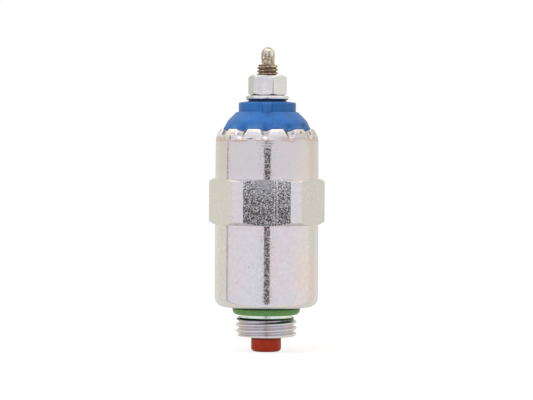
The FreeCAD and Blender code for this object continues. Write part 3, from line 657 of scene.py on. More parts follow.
def rubber(name, base, rough, grain_size, shaded_above=None):
    """Moulded rubber: slightly mottled, with a fine grain, and painted shade above a given height."""
    finish = Finish(name, base, rough=rough, gloss=0.13)
    clouds = finish.noise(1.1 * MM, 4.0)
    mottle(finish, clouds, 0.3, 0.7, shade(base, 0.88), shade(base, 1.1))
    # Painted shade above the given height
    if shaded_above is not None:
        oil_and_shade = finish.band(finish.axis("Z"), shaded_above - 0.1 * MM, shaded_above + 0.15 * MM, 0.0, 0.85)
        finish.paint(shade(base, 0.3), oil_and_shade)
    finish.bump(finish.noise(grain_size), 0.02 * MM, 0.6)
    return finish.finished(finish.band(clouds, 0.3, 0.7, rough - 0.07, rough + 0.1))


def dull_brass(base, root):
    """Turned brass, tarnished brown and mottled by flux, darkest at the roots of its thread."""
    finish = Finish("dull_brass", base, metal=1.0, rough=0.38)
    stain_and_shade = finish.noise(0.7 * MM, 5.0)
    dark = tint(base, 0.42, 0.36, 0.31)
    mottle(finish, stain_and_shade, 0.36, 0.62, dark, shade(base, 1.25))
    across = finish.distance(finish.stretched(1.0, 1.0, 0.0))
    finish.paint(shade(dark, 0.6), finish.stripe(across, root, 0.06 * MM, 0.34 * MM, 0.6))
    finish.bump(finish.noise(0.2 * MM, 4.0), 0.03 * MM, 0.7)
    return finish.finished(finish.band(stain_and_shade, 0.3, 0.7, 0.5, 0.28))


def flowed_solder(base):
    """Solder: bright where it flowed thick, streaked brown with flux lower down."""
    finish = Finish("flowed_solder", base, metal=1.0, rough=0.24)
    streaks = finish.noise(0.8 * MM, 5.0, finish.stretched(1.0, 1.0, 0.45), 0.8)
    mottle(finish, streaks, 0.42, 0.58, tint(base, 0.42, 0.36, 0.28), base)
    finish.bump(finish.noise(0.45 * MM, 4.0), 0.06 * MM, 0.8)
    return finish.finished(finish.band(streaks, 0.35, 0.65, 0.45, 0.16))


def turned_steel(name, base):
    """Turned metal inside the housing: fine rings and a little oil."""
    finish = Finish(name, base, metal=1.0, rough=0.3)
    oil_and_shade = finish.noise(3 * MM)
    mottle(finish, oil_and_shade, 0.35, 0.65, shade(base, 0.82), shade(base, 1.08))
    finish.bump(finish.noise(0.15 * MM, 2.0, finish.stretched(0.1, 0.1, 1.0)), 0.01 * MM)
    return finish.finished(finish.band(oil_and_shade, 0.3, 0.7, 0.22, 0.4))


def wound_copper(base):
    """Enamelled wire, turn beside turn, painted darker between the turns as shade."""
    finish = Finish("wound_copper", base, metal=1.0, rough=0.25)
    wire_width = 0.3 * MM
    wire = finish.math("SINE", finish.axis("Z") * (FULL_TURN / wire_width))
    # Painted shade in the grooves between the turns
    mottle(finish, wire, -1.0, 1.0, shade(base, 0.55), shade(base, 1.1))
    finish.bump(wire, 0.06 * MM)
    return finish.finished()


def moulded(name, base, rough):
    """Plain moulded plastic with a fine grain."""
    finish = Finish(name, base, rough=rough)
    mottle(finish, finish.noise(1.8 * MM), 0.3, 0.7, shade(base, 0.9), shade(base, 1.08))
    finish.bump(finish.noise(0.2 * MM), 0.02 * MM)
    return finish.finished()


def dress(piece, body, slot, *materials):
    """Give a piece its materials and the body that it moves with; the slot is not used."""
    for material in materials:
        piece.data.materials.append(material)
    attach(piece, body)


# Housing

def columns_round(housing):
    """Angles of the housing's columns, laid so that the corners of the collar's flats fall on columns."""
    half = math.acos(housing.flat / housing.collar)
    sector = FULL_TURN / housing.flats
    angles = []
    for number in range(housing.flats):
        middle = housing.flat_turn + sector * number
        corner, next_flat = middle + half, middle + sector - half
        angles += [np.linspace(middle - half, corner, housing.flat_columns, endpoint=False),
                   np.linspace(corner, next_flat, housing.round_columns, endpoint=False)]
    return np.concatenate(angles)


def on_rim(reach, lean, housing):
    """A point of the rolled rim, at a distance from the centre of its bend."""
    return (housing.barrel - housing.crimp + reach * np.cos(lean), housing.shoulder + reach * np.sin(lean))


def flute_push(angles, across, up, lean, flutes, housing):
    """How far the flutes push a point of the rim in, how much their lips raise it, and how deep it lies.

    The point is at a radius and a height, and is pushed along its lean, the slope of the surface's normal.
    """
    aside = from_facet(angles, flutes.count, flutes.turn)
    tilt = flutes.tilt
    edge_across, edge_up = on_rim(housing.crimp - flutes.depth, housing.crimp_angle, housing)
    over = (across * np.cos(aside) - edge_across) * math.sin(tilt) + (up - edge_up) * math.cos(tilt)
    over = over + flutes.uneven * np.sin(5 * (angles - aside) + 0.7)
    facing = np.cos(lean) * math.sin(tilt) + np.sin(lean) * math.cos(tilt)
    wall = (np.hypot(across * np.sin(aside), flutes.tip) - flutes.tip) * math.tan(flutes.wedge)
    deep = (over - wall) / facing
    push = smooth_max(deep, 0.0, flutes.softness)
    lip = flutes.lip * np.exp(-((deep + flutes.lip_width) / flutes.lip_width) ** 2)
    return push, lip, deep


def rim_push(angles, lean, flutes, housing):
    """What the flutes do to the outside of the rolled rim, as in flute_push."""
    return flute_push(angles, *on_rim(housing.crimp, lean, housing), lean, flutes, housing)


def crimp_rows(angles, housing, flutes):
    """Rows of the barrel's top and the fluted rim, then round its edge and down inside the rim."""
    rows = []
    spun_height, spun_pitch, edge = 0.015 * MM, 0.55 * MM, 0.25 * MM
    for up in np.linspace(housing.shoulder - 3.2 * MM, housing.shoulder, 26):
        push, lip, _ = flute_push(angles, housing.barrel, up, 0.0, flutes, housing)
        begins = max(0.0, up - housing.shoulder + 1.6 * MM) / (0.5 * MM)
        ends = (housing.shoulder - up) / (0.3 * MM)
        spun = spun_height * math.sin(FULL_TURN * up / spun_pitch) * min(1.0, begins, ends)
        rows.append(ring_row(housing.barrel - push + lip + spun, up, angles))
    end = housing.crimp_angle - edge / housing.crimp
    inner = housing.crimp - housing.rim_wall
    arc = [(housing.crimp, lean, 1.0) for lean in np.linspace(0.0, end, 40)[1:]]
    for turn in np.linspace(0.0, QUARTER_TURN, 7)[1:]:
        lean = end + edge * math.sin(turn) / housing.crimp
        arc.append((housing.crimp - edge * (1 - math.cos(turn)), lean, math.cos(turn)))
    arc += [(inner, housing.crimp_angle, 0.0), (inner, housing.crimp_angle * 0.6, 0.0), (inner, 0.0, 0.0)]
    for reach, lean, raised in arc:
        push, lip, _ = rim_push(angles, lean, flutes, housing)
        rows.append(ring_row(*on_rim(reach - push + lip * raised, lean, housing), angles))
    return rows


def collar_line(angles, housing):
    """The collar's outline from column to column: a chamfered disc that the flats cut back."""
    slope = math.tan(housing.chamfer_angle)
    facet = from_facet(angles, housing.flats, housing.flat_turn)
    wall = np.minimum(housing.collar, housing.flat / np.cos(facet))
    low_start = housing.collar - housing.collar_low_chamfer
    high_start = np.minimum(housing.collar - housing.collar_high_chamfer, wall - 0.03 * MM)
    low, high = housing.collar_low, housing.collar_high
    wall_low = low + (wall - low_start) * slope
    wall_high = high - (wall - high_start) * slope
    middle = (wall_low + wall_high) / 2
    return rounded([
        (housing.barrel, low, 0.0),
        (low_start, low, 0.0),
        (wall, wall_low, 0.05 * MM),
        (wall, middle, 0.0),
        (wall, wall_high, 0.09 * MM),
        (high_start, high, 0.0),
        (housing.barrel, high, 0.0),
    ], 4)


def nose_reach(angles, heights, housing):
    """Radius of the nose thread, chamfered at both ends."""
    soft = 0.1 * MM
    low, high = HOUSING_LOW[2], -housing.thread_top
    thread = thread_reach(angles, heights, housing.thread, housing.thread_depth, housing.thread_pitch,
                          -housing.thread_crest, soft)
    end = housing.thread - housing.thread_chamfer
    taper = np.minimum(end + (heights - low), end + (high - heights))
    return smooth_min(thread, taper + soft / 4, soft)


def hollow_line(housing):
    """The housing's inside from the rim down: ledge, coil chamber, pocket of the seal and nose bore."""
    ledge, chamber, chamber_floor = 34.5 * MM, 10.5 * MM, 3.0 * MM
    pocket, pocket_floor = 5.0 * MM, 1.2 * MM
    chamfer = 0.3 * MM
    low = HOUSING_LOW[2]
    return [
        (housing.barrel - housing.rim_wall, ledge), (chamber, ledge), (chamber, chamber_floor),
        (pocket, chamber_floor), (pocket, pocket_floor), (housing.bore, pocket_floor),
        (housing.bore, low + chamfer), (housing.bore + chamfer, low),
    ]


def make_housing(housing, flutes, colours):
    """The whole housing as one closed mesh: threaded nose, barrel, collar and fluted rim, hollow inside."""
    angles = columns_round(housing)
    low, high = HOUSING_LOW[2], -housing.thread_top
    foot, foot_round = housing.barrel - housing.foot_round, housing.foot_round
    line = [(nose_reach(angles, high, housing), high)]
    line += rounded([
        (housing.neck, high, 0.0),
        (housing.neck, housing.recess_depth, 0.12 * MM),
        (housing.recess, housing.recess_depth, 0.0),
        (housing.recess, 0.0, 0.0),
    ], 4)
    for turn in np.linspace(0.0, QUARTER_TURN, 18):
        line.append((foot + foot_round * math.sin(turn), foot_round * (1 - math.cos(turn))))
    for share in np.linspace(0.0, 1.0, 8)[1:-1]:
        line.append((housing.barrel, foot_round + (housing.collar_low - foot_round) * share))
    rows = ring_rows(line + collar_line(angles, housing), angles) + crimp_rows(angles, housing, flutes)
    rows += ring_rows(hollow_line(housing) + [(nose_reach(angles, low, housing), low)], angles)
    thread = threaded_net(lambda around, heights: nose_reach(around, heights, housing), low, high,
                          housing.thread_pitch, angles)
    piece = make_piece("plated_housing", [skin(rows), thread], 21.0)
    # Height of the dark band of painted shade under the seal
    neck_shade_height = high - 0.33 * MM
    dress(piece, SOLENOID_BODY, "plated_steel",
          zinc_plate(colours.zinc, housing.shoulder, neck_shade_height, housing.thread),
          milled_zinc(colours.zinc, housing.flat))
    mark_flats(piece.data, housing)
    mark_flutes(piece.data, housing, flutes)
    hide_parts("housing")


def places(items, name):
    """The places of a mesh's points or faces, one row each."""
    flat = np.empty(len(items) * 3)
    items.foreach_get(name, flat)
    return flat.reshape(-1, 3)


def mark_flutes(mesh, housing, flutes):
    """Store how deep each point lies in a flute, in millimetres, and a low number where there is no rim."""
    points = places(mesh.vertices, "co")
    height, off_rim = points[:, 2], -9.0
    across = np.hypot(points[:, 0], points[:, 1])
    lean = np.arctan2(np.maximum(height - housing.shoulder, 0.0), across - housing.barrel + housing.crimp)
    lean = np.minimum(lean, housing.crimp_angle)
    outside, up = on_rim(housing.crimp, lean, housing)
    up = np.where(lean > 0.0, up, height)
    _, _, deep = flute_push(np.arctan2(points[:, 1], points[:, 0]), outside, up, lean, flutes, housing)
    deep = np.where((across > housing.crimp) & (height > housing.collar_high), deep / MM, off_rim)
    mesh.attributes.new("flute_depth", "FLOAT", "POINT").data.foreach_set("value", deep.astype(np.float32))


def mark_flats(mesh, housing):
    """Give the second material to the faces that lie in the collar's flats."""
    x, y, height = places(mesh.polygons, "center").T
    facet = from_facet(np.arctan2(y, x), housing.flats, housing.flat_turn)
    on_flat = np.abs(np.hypot(x, y) * np.cos(facet) - housing.flat) < 0.01 * MM
    on_collar = (height > housing.collar_low) & (height < housing.collar_high)
    mesh.polygons.foreach_set("material_index", (on_flat & on_collar).astype(np.int32))


# Cap

def cone_line(cap, foot):
    """The cap's outside from under the rim to its boss, in short steps so that the dents can bend it."""
    bulge, bulge_height = 9.05 * MM, 43.3 * MM
    corners = rounded([
        (cap.cone_foot + 0.15 * MM, foot - 0.7 * MM, 0.0),
        (cap.cone_foot + 0.05 * MM, foot, 0.3 * MM),
        (bulge, bulge_height, 3.0 * MM),
        (cap.cone_top, cap.cone_height, 0.2 * MM),
        (cap.ring, cap.cone_height, 0.1 * MM),
        (cap.ring, cap.ring_height, cap.ring_round),
        (cap.boss, cap.ring_height + 0.3 * MM, 0.0),
    ], 8)[:-1]
    line = []
    for (across, up), (next_across, next_up) in zip(corners, corners[1:]):
        pieces = max(1, math.ceil(math.hypot(next_across - across, next_up - up) / (0.2 * MM)))
        line += [(across + (next_across - across) * step / pieces, up + (next_up - up) * step / pieces)
                 for step in range(pieces)]
    return line + corners[-1:]


def make_cap(cap, housing, flutes, colours):
    """Blue cap: skirt under the rim, dented cone, ring with an upright rib, and the boss for the washer."""
    angles = turns(cap.columns)
    skirt, skirt_top, foot = 9.45 * MM, 38.9 * MM, 41.5 * MM
    hole, head, head_floor, head_roof = 2.55 * MM, 4.05 * MM, 42.6 * MM, 44.6 * MM
    under = housing.crimp - housing.rim_wall - 0.05 * MM
    rows = ring_rows([(skirt, CAP_LOW[2]), (CAP_HIGH[0], CAP_LOW[2])], angles)
    for lean in np.linspace(0.0, housing.crimp_angle, 12):
        push, _, _ = rim_push(angles, lean, flutes, housing)
        rows.append(ring_row(*on_rim(under - push, lean, housing), angles))
    dent, _, _ = rim_push(angles, housing.crimp_angle, flutes, housing)
    aside = from_facet(angles, 1, -QUARTER_TURN)
    side = cap.ring * np.sin(aside)
    rib = cap.ring * np.cos(aside) + np.sqrt(np.maximum(cap.rib ** 2 - side ** 2, 0.0))
    rib = np.where(np.abs(aside) < 0.5, rib, 0.0)
    for across, up in cone_line(cap, foot):
        fade = min(1.0, max(0.0, (foot + cap.dent_rise - up) / cap.dent_rise))
        sunk = dent * fade * fade * (3 - 2 * fade)
        reach = across - sunk * 0.55
        if up > foot + cap.dent_rise:
            rounding = max(0.0, up - cap.ring_height + cap.ring_round)
            reach = smooth_max(across, rib - rounding, 0.05 * MM)
        rows.append(ring_row(reach, up - sunk * 0.65, angles))
    rows += ring_rows([
        (cap.boss, cap.ring_height + 0.3 * MM), (cap.boss, CAP_HIGH[2] - 0.05 * MM),
        (cap.boss - 0.05 * MM, CAP_HIGH[2]), (hole, CAP_HIGH[2]), (hole, head_roof),
        (head, head_roof), (head, head_floor), (8.3 * MM, 39.5 * MM), (skirt, skirt_top),
    ], angles)
    piece = make_piece("blue_cap", [skin(rows, closes=True)])
    dress(piece, SOLENOID_BODY, "blue_plastic", blue_plastic(colours.cap, foot - 0.4 * MM, cap.ring_height))
    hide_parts("terminal_cap")


# Terminal

def stud_reach(angles, heights, terminal):
    """Radius of the stud's shank: thread with a chamfered end."""
    soft = 0.03 * MM
    crest_height, chamfer = 55.05 * MM, 0.45 * MM
    thread = thread_reach(angles, heights, terminal.thread, terminal.thread_depth, terminal.thread_pitch,
                          crest_height, soft)
    return smooth_min(thread, terminal.thread - chamfer + (terminal.shank_top - heights), soft)


def moved(rows, aside):
    """Rows moved along the X axis."""
    return [row + np.array([aside, 0.0, 0.0]) for row in rows]


def make_stud(terminal, colours):
    """Threaded terminal stud with its round head and the hand-soldered pin, slightly uneven."""
    angles = turns(terminal.columns // 2)
    head, head_low, head_high = STUD_HIGH[0], STUD_LOW[2], 43.6 * MM
    shank_low, top = 48.2 * MM, terminal.shank_top
    rows = ring_rows([
        (0.0, head_low), (head, head_low), (head, head_high), (terminal.thread, head_high),
        (terminal.thread, shank_low - 0.2 * MM), (stud_reach(angles, shank_low, terminal), shank_low),
    ], angles)
    shank = threaded_net(lambda around, heights: stud_reach(around, heights, terminal), shank_low, top,
                         terminal.thread_pitch, angles, 16)
    step = [ring_row(stud_reach(angles, top, terminal), top, angles)]
    pin = []
    dome = SOLDER_HIGH[2] - SOLDER_HIGH[0]
    for up in np.linspace(top, dome, 14):
        wave = np.sin(9.0 * (up - top) / (dome - top)) ** 2
        waist = 1.0 - 0.015 * wave * (1 + 0.6 * np.sin(2 * angles + 1.0))
        pin.append(ring_row(terminal.pin * waist, up, angles))
    for turn in np.linspace(0.0, QUARTER_TURN, 9)[1:]:
        pin.append(ring_row(terminal.pin * math.cos(turn), dome + terminal.pin * math.sin(turn), angles))
    patches = [skin(rows), shank, skin(step + moved(pin, terminal.pin_aside))]
    piece = make_piece("terminal_stud_threaded", patches, 45.0)
    dress(piece, SOLENOID_BODY, "brass", dull_brass(colours.brass, terminal.thread - terminal.thread_depth))
    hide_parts("terminal_stud")


def make_solder(terminal, colours):
    """Solder that has run down the pin unevenly, with a thick drop on one side."""
    angles = turns(terminal.columns // 2)
    dome = SOLDER_HIGH[2] - SOLDER_HIGH[0]
    inner = terminal.pin - 0.03 * MM
    edge = 57.6 + 0.3 * np.sin(angles + 2.6) + 0.16 * np.sin(3 * angles) + 0.08 * np.sin(7 * angles + 2.0)
    edge = edge * MM
    drop_turn, drop_height, drop_wide, drop_tall = math.radians(-62.0), 58.2 * MM, 0.5, 0.7 * MM
    aside = from_facet(angles, 1, drop_turn)
    rows = ring_rows([(0.0, dome), (inner, dome), (inner, edge)], angles)
    for share in np.linspace(0.0, 1.0, 24):
        up = edge + (dome - edge) * share
        drop = np.exp(-(aside / drop_wide) ** 2 - ((up - drop_height) / drop_tall) ** 2)
        ripple = 0.25 * np.sin(5 * angles + up / MM * 4) * np.sin(3 * angles - up / MM * 2.3)
        thick = terminal.solder * (0.85 + 0.3 * ripple * (1 - share) + 1.1 * drop) * min(1.0, share * 8)
        rows.append(ring_row(terminal.pin + thick, up, angles))
    for turn in np.linspace(0.0, QUARTER_TURN, 10)[1:]:
        drop = np.exp(-(aside / drop_wide) ** 2 - (0.45 / 0.7) ** 2) * math.cos(turn) ** 2
        reach = terminal.pin + terminal.solder * (0.85 + 1.1 * drop + 0.15 * math.sin(turn))
        rows.append(ring_row(reach * math.cos(turn), dome + SOLDER_HIGH[0] * math.sin(turn), angles))
    piece = make_piece("solder_drop", [skin(moved(rows, terminal.pin_aside))], 60.0)
    dress(piece, SOLENOID_BODY, "solder", flowed_solder(colours.solder))
    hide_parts("solder_tip")


def make_nut(terminal, colours):
    """Hexagon nut with chamfered ends and a countersunk hole."""
    angles = turns(terminal.columns)
    low, high = NUT_LOW[2], NUT_HIGH[2]
    hole, countersink = 2.5 * MM, 0.25 * MM
    slope = math.radians(30.0)
    corner = terminal.nut_flat / math.cos(slope)
    plane = terminal.nut_flat / np.cos(from_facet(angles, 6, terminal.nut_turn))
    line = []
    for share in np.linspace(0.0, 1.0, 14):
        across = terminal.nut_face + (corner - terminal.nut_face) * share
        line.append((across, low + (across - terminal.nut_face) * math.tan(slope)))
    line.append((corner, (low + high) / 2))
    line += [(across, low + high - up) for across, up in reversed(line[:-1])]
    line = [(smooth_min(across, plane, 0.12 * MM), up) for across, up in line]
    line = [(hole + countersink, low)] + line + [
        (hole + countersink, high), (hole, high - countersink), (hole, low + countersink)]
    piece = make_piece("plated_nut", [skin(ring_rows(line, angles), closes=True)], 35.0)
    dress(piece, SOLENOID_BODY, "zinc_fasteners", satin_zinc(colours.zinc_satin))
    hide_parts("terminal_nut")


def make_washer(terminal):
    """Stamped washer with rounded outer edges. It shares the nut's finish."""
    low, high = WASHER_LOW[2], WASHER_HIGH[2]
    bore, outer = terminal.washer_bore, WASHER_HIGH[0]
    line = rounded([
        (bore, low, 0.05 * MM), (outer, low, 0.4 * MM), (outer, high, 0.45 * MM), (bore, high, 0.1 * MM),
    ])
    piece = lathe("plated_washer", line, terminal.columns, sharp_angle=50.0)
    dress(piece, SOLENOID_BODY, "zinc_fasteners", bpy.data.materials["zinc_satin"])
    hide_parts("terminal_washer")


# Nose seal, valve tip and return spring

def make_nose_seal(colours):
    """Green ring seal, squeezed against its face, with the faint parting line of its mould."""
    section = (RING_HIGH[2] - RING_LOW[2]) / 2
    middle = RING_HIGH[0] - section
    widest = RING_HIGH[2] - 0.62 * section
    seam = 0.012 * MM
    line = []
    for turn in np.linspace(-math.pi, math.pi, 49)[:-1]:
        reach = section + seam * math.exp(-(turn / 0.12) ** 2) - seam
        tall = RING_HIGH[2] - widest if turn > 0.0 else widest - RING_LOW[2]
        line.append((middle + reach * math.cos(turn), widest + tall * math.sin(turn)))
    piece = lathe("ring_seal", line, 240)
    # Painted shade on the seal's upper part, under the housing
    shaded_above = widest + 0.12 * MM
    dress(piece, SOLENOID_BODY, "green_rubber", rubber("green_rubber", colours.seal, 0.36, 0.25 * MM, shaded_above))
    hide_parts("nose_o_ring")


def make_valve_tip(colours):
    """Red rubber tip with softly rounded edges, and the bulb that holds it in the plunger."""
    face, stem, bulb = TIP_HIGH[0], 2.0 * MM, 2.6 * MM
    face_top, stem_top, bulb_top = -6.0 * MM, -4.5 * MM, -3.0 * MM
    line = rounded([
        (0.0, TIP_LOW[2], 0.0),
        (face, TIP_LOW[2], 0.85 * MM),
        (face, face_top, 0.15 * MM),
        (stem, face_top, 0.0),
        (stem, stem_top, 0.0),
        (bulb, stem_top, 0.2 * MM),
        (bulb, bulb_top, 0.3 * MM),
        (0.0, bulb_top, 0.0),
    ], 8)
    piece = lathe("rubber_valve_tip", line, 192, closes=False)
    # Painted shade on the top of the tip, under the nose
    shaded_above = HOUSING_LOW[2] - 0.7 * MM
    dress(piece, PLUNGER_BODY, "red_rubber", rubber("red_rubber", colours.tip, 0.42, 0.2 * MM, shaded_above))
    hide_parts("valve_tip")


def make_spring(colours):
    """Round-wire return spring, flat at both ends."""
    low, high = SPRING_LOW[2], SPRING_HIGH[2]
    wire = 0.3 * MM
    middle = SPRING_HIGH[0] - wire
    coils, per_coil, sides = 7, 36, 14
    around = turns(sides)
    rows = []
    for step in range(coils * per_coil + 1):
        turn = FULL_TURN * step / per_coil
        up = low + (high - low) * step / (coils * per_coil)
        across = middle + wire * np.cos(around)
        height = np.clip(up + wire * np.sin(around), low, high)
        rows.append(np.stack([across * math.cos(turn), across * math.sin(turn), height], axis=1))
    ends = [[row.mean(axis=0)] * sides for row in (rows[0], rows[-1])]
    piece = make_piece("return_spring_coil", [skin(([ends[0]] + rows + [ends[1]])[::-1])], 50.0)
    dress(piece, SOLENOID_BODY, "spring_steel", turned_steel("spring_steel", colours.steel))
    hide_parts("return_spring")
    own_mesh(piece)


# Stage

def set_world():
    """A white world for the camera, and for the rest a soft tent with a narrow dark opening in front.

    Edges and their softness are in degrees, round the object from its front and up from the horizon.
    """
    world = bpy.data.worlds.new("light_tent")
    bpy.context.scene.world = world
    world.use_nodes = True
    world.node_tree.nodes.clear()
    sky = Nodes(world.node_tree, "Generated")

    def step(value, edge, soft):
        """Rises from 0 to 1 across an edge."""
        values = {"Value": value, "From Min": edge - soft, "From Max": edge + soft}
        return sky.node("ShaderNodeMapRange", values, interpolation_type="SMOOTHSTEP")

    around = sky.math("ARCTAN2", sky.axis("X"), sky.axis("Y") * -1.0) * (180.0 / math.pi)
    height = sky.math("ARCSINE", sky.axis("Z")) * (180.0 / math.pi)
    side = abs(around)
    tent = sky.mix(step(around, 72.0, 26.0), (1.068, 1.031, 1.068, 1.0), (1.16, 1.088, 0.97, 1.0))
    tent = sky.mix(step(around, 109.0, 8.0), tent, (1.015, 0.95, 0.835, 1.0))
    tent = sky.mix(step(around, -93.5, 1.0), (1.25, 1.21, 1.2, 1.0), tent)
    tent = sky.mix(step(around, -98.3, 1.5), (1.09, 1.05, 0.93, 1.0), tent)
    tent = sky.mix(step(around, -112.0, 7.0), (1.04, 0.98, 0.84, 1.0), tent)
    tent = sky.mix(step(side, 157.0, 4.0), tent, (0.80, 0.79, 0.74, 1.0))
    seam = 1.0 - step(abs(around + 98.3), 3.2, 1.2)
    tent = sky.mix(seam * 0.7, tent, (0.36, 0.32, 0.30, 1.0))
    gap = (1.0 - step(abs(around - 0.6), 6.3, 0.4)) * (1.0 - step(height, 5.0, 1.5))
    gap = gap * step(height, -58.0, 3.0)
    tent = sky.mix(gap, tent, (0.19, 0.172, 0.168, 1.0))
    zenith = step(height, 84.0, 1.5)
    tent = sky.mix(zenith, tent, (0.62, 0.55, 0.56, 1.0))
    ahead = step(height, 62.0, 12.0) * step(side, 90.0, -20.0)
    behind = step(height, 38.0, 16.0) * step(side, 90.0, 20.0)
    bright = sky.math("ADD", 1.0, sky.math("MAXIMUM", (ahead + behind) * (0.65 - zenith), 0.0))
    light = sky.node("ShaderNodeBackground", {"Color": tent, "Strength": bright})
    backdrop = sky.node("ShaderNodeBackground", {"Color": WHITE, "Strength": 1.0})
    seen = sky.node("ShaderNodeLightPath", {}, "Is Camera Ray")
    output = world.node_tree.nodes.new("ShaderNodeOutputWorld")
    sky.set(output, {"Surface": sky.node("ShaderNodeMixShader", {0: seen, 1: light, 2: backdrop})})
    world.node_tree.nodes.active = output


def make_floor():
    """Pale round floor, clear from below, which glows a little so that it meets the white backdrop."""
    floor_height = CAD_BOX[0][2] - 0.02 * MM
    line = [(reach, floor_height) for reach in (130 * MM, 60 * MM, 0.0)]
    floor = lathe("floor", line, 96, closes=False)
    pale = Finish("pale_floor", (0.9, 0.9, 0.9, 1.0), rough=0.9, gloss=0.1)
    seen = pale.node("ShaderNodeLightPath", {}, "Is Camera Ray")
    glow = pale.node("ShaderNodeEmission", {"Color": WHITE})
    clear = pale.node("ShaderNodeBsdfTransparent", {})
    below = pale.node("ShaderNodeNewGeometry", {}, "Backfacing")
    lit = pale.node("ShaderNodeMixShader", {0: seen * 0.8, 1: Value(pale, pale.shader.outputs[0]), 2: glow})
    one_sided = pale.node("ShaderNodeMixShader", {0: below, 1: lit, 2: clear})
    pale.set(pale.tree.nodes["Material Output"], {"Surface": one_sided})
    floor.data.materials.append(pale.material)
    floor.visible_glossy = False


def aim(thing, target, roll=0.0):
    """Point a camera or lamp at a place."""
    view = (Vector(target) - thing.location).to_track_quat("-Z", "Y")
    thing.rotation_euler = (view.to_matrix() @ Matrix.Rotation(roll, 3, "Z")).to_euler()


def set_lamp():
    """A round lamp above and in front, which doesn't show in reflections."""
    lamp = bpy.data.lights.new("overhead_lamp", "AREA")
    lamp.shape = "DISK"
    lamp.size = 0.30
    lamp.energy = 2.2
    lamp.color = (1.0, 0.98, 0.96)
    holder = bpy.data.objects.new("overhead_lamp", lamp)
    holder.location = (-0.12, -0.20, 0.45)
    holder.visible_glossy = False
    bpy.context.scene.collection.objects.link(holder)
    aim(holder, (0.0, 0.0, 25 * MM))


def set_camera():
    """The photograph's view: from the front, a little above, and far away."""
    aside, distance, height, target_height = -0.08 * MM, 570 * MM, 40 * MM, 24.77 * MM
    camera = bpy.data.cameras.new("camera")
    camera.sensor_width = 36.0
    camera.lens = 165.6
    camera.clip_start = 0.01
    holder = bpy.data.objects.new("camera", camera)
    holder.location = (aside, -distance, height)
    bpy.context.scene.collection.objects.link(holder)
    aim(holder, (aside, 0.0, target_height), math.radians(0.31))
    bpy.context.scene.camera = holder


# Operators

class SOLENOID_OT_housing(Operator):
    """Build the plated housing with its collar, fluted rim and threaded nose"""
    bl_idname = "solenoid.housing"
    bl_label = "Housing"
    bl_options = {"REGISTER", "UNDO"}

    def execute(self, context):
        scene = context.scene
        make_housing(scene.solenoid_housing, scene.solenoid_flutes, scene.solenoid_colours)
        return {"FINISHED"}


class SOLENOID_OT_cap(Operator):
    """Build the blue cap that the rim holds"""
    bl_idname = "solenoid.cap"
    bl_label = "Cap"
    bl_options = {"REGISTER", "UNDO"}

    def execute(self, context):
        scene = context.scene
        make_cap(scene.solenoid_cap, scene.solenoid_housing, scene.solenoid_flutes, scene.solenoid_colours)
        return {"FINISHED"}


class SOLENOID_OT_terminal(Operator):
    """Build the terminal stud and the solder on its pin"""
    bl_idname = "solenoid.terminal"
    bl_label = "Terminal stud and solder"
    bl_options = {"REGISTER", "UNDO"}

    def execute(self, context):
        make_stud(context.scene.solenoid_terminal, context.scene.solenoid_colours)
        make_solder(context.scene.solenoid_terminal, context.scene.solenoid_colours)
        return {"FINISHED"}


class SOLENOID_OT_fasteners(Operator):
    """Build the nut and the washer on the terminal"""
    bl_idname = "solenoid.fasteners"
    bl_label = "Nut and washer"
    bl_options = {"REGISTER", "UNDO"}

    def execute(self, context):
        make_nut(context.scene.solenoid_terminal, context.scene.solenoid_colours)
        make_washer(context.scene.solenoid_terminal)
        return {"FINISHED"}


class SOLENOID_OT_nose(Operator):
    """Build the ring seal on the nose and the rubber valve tip"""
    bl_idname = "solenoid.nose"
    bl_label = "Ring seal and valve tip"
    bl_options = {"REGISTER", "UNDO"}

    def execute(self, context):
        make_nose_seal(context.scene.solenoid_colours)
        make_valve_tip(context.scene.solenoid_colours)
        return {"FINISHED"}


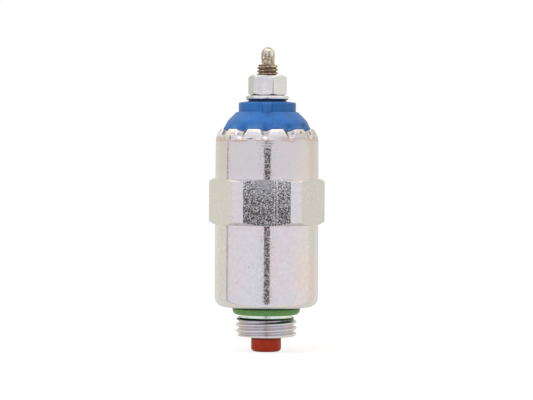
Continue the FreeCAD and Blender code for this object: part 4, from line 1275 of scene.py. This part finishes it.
class SOLENOID_OT_inside(Operator):
    """Build the return spring and finish the pieces inside the housing"""
    bl_idname = "solenoid.inside"
    bl_label = "Spring and inner pieces"
    bl_options = {"REGISTER", "UNDO"}

    def execute(self, context):
        colours = context.scene.solenoid_colours
        make_spring(colours)
        finishes = {
            "soft_iron": turned_steel("soft_iron", colours.steel),
            "spring_steel": bpy.data.materials["spring_steel"],
            "brass": turned_steel("sleeve_brass", (0.72, 0.50, 0.22, 1.0)),
            "black_rubber": rubber("black_rubber", colours.black, 0.5, 0.3 * MM),
            "bobbin_plastic": moulded("bobbin_plastic", colours.bobbin, 0.5),
            "copper": wound_copper(colours.copper),
            "tape": moulded("winding_tape", colours.tape, 0.3),
            "wire_sleeve": moulded("lead_sleeve", colours.lead, 0.4),
        }
        for part in frame["record"]["subparts"]:
            piece = frame["nodes"][part["node"]]
            if part["material_slot"] in finishes and not piece.hide_render:
                piece.data.materials.clear()
                piece.data.materials.append(finishes[part["material_slot"]])
        return {"FINISHED"}


class SOLENOID_OT_stage(Operator):
    """Set up the floor, the light and the camera"""
    bl_idname = "solenoid.stage"
    bl_label = "Stage"
    bl_options = {"REGISTER", "UNDO"}

    def execute(self, context):
        context.scene.view_settings.view_transform = "Standard"
        set_world()
        make_floor()
        set_lamp()
        set_camera()
        return {"FINISHED"}


class SOLENOID_PT_build(Panel):
    """Buttons that build the solenoid piece by piece"""
    bl_label = "Fuel Shutoff Solenoid"
    bl_idname = "SOLENOID_PT_build"
    bl_space_type = "VIEW_3D"
    bl_region_type = "UI"
    bl_category = "Solenoid"

    def draw(self, context):
        for operator in OPERATORS:
            self.layout.operator(operator.bl_idname)
        for name in GROUPS:
            group = getattr(context.scene, name)
            box = self.layout.box()
            box.label(text=name.replace("_", " ").capitalize())
            for setting in group.__annotations__:
                box.prop(group, setting)


OPERATORS = (
    SOLENOID_OT_housing,
    SOLENOID_OT_cap,
    SOLENOID_OT_terminal,
    SOLENOID_OT_fasteners,
    SOLENOID_OT_nose,
    SOLENOID_OT_inside,
    SOLENOID_OT_stage,
)
GROUPS = {
    "solenoid_housing": SOLENOID_PG_housing,
    "solenoid_flutes": SOLENOID_PG_flutes,
    "solenoid_cap": SOLENOID_PG_cap,
    "solenoid_terminal": SOLENOID_PG_terminal,
    "solenoid_colours": SOLENOID_PG_colours,
}
CLASSES = (*GROUPS.values(), *OPERATORS, SOLENOID_PT_build)


def register():
    for kind in CLASSES:
        bpy.utils.register_class(kind)
    for name, group in GROUPS.items():
        setattr(bpy.types.Scene, name, PointerProperty(type=group))


def unregister():
    for name in GROUPS:
        delattr(bpy.types.Scene, name)
    for kind in reversed(CLASSES):
        bpy.utils.unregister_class(kind)


def main():
    register()
    for operator in OPERATORS:
        family, name = operator.bl_idname.split(".")
        getattr(getattr(bpy.ops, family), name)()


if __name__ == "__main__":
    main()
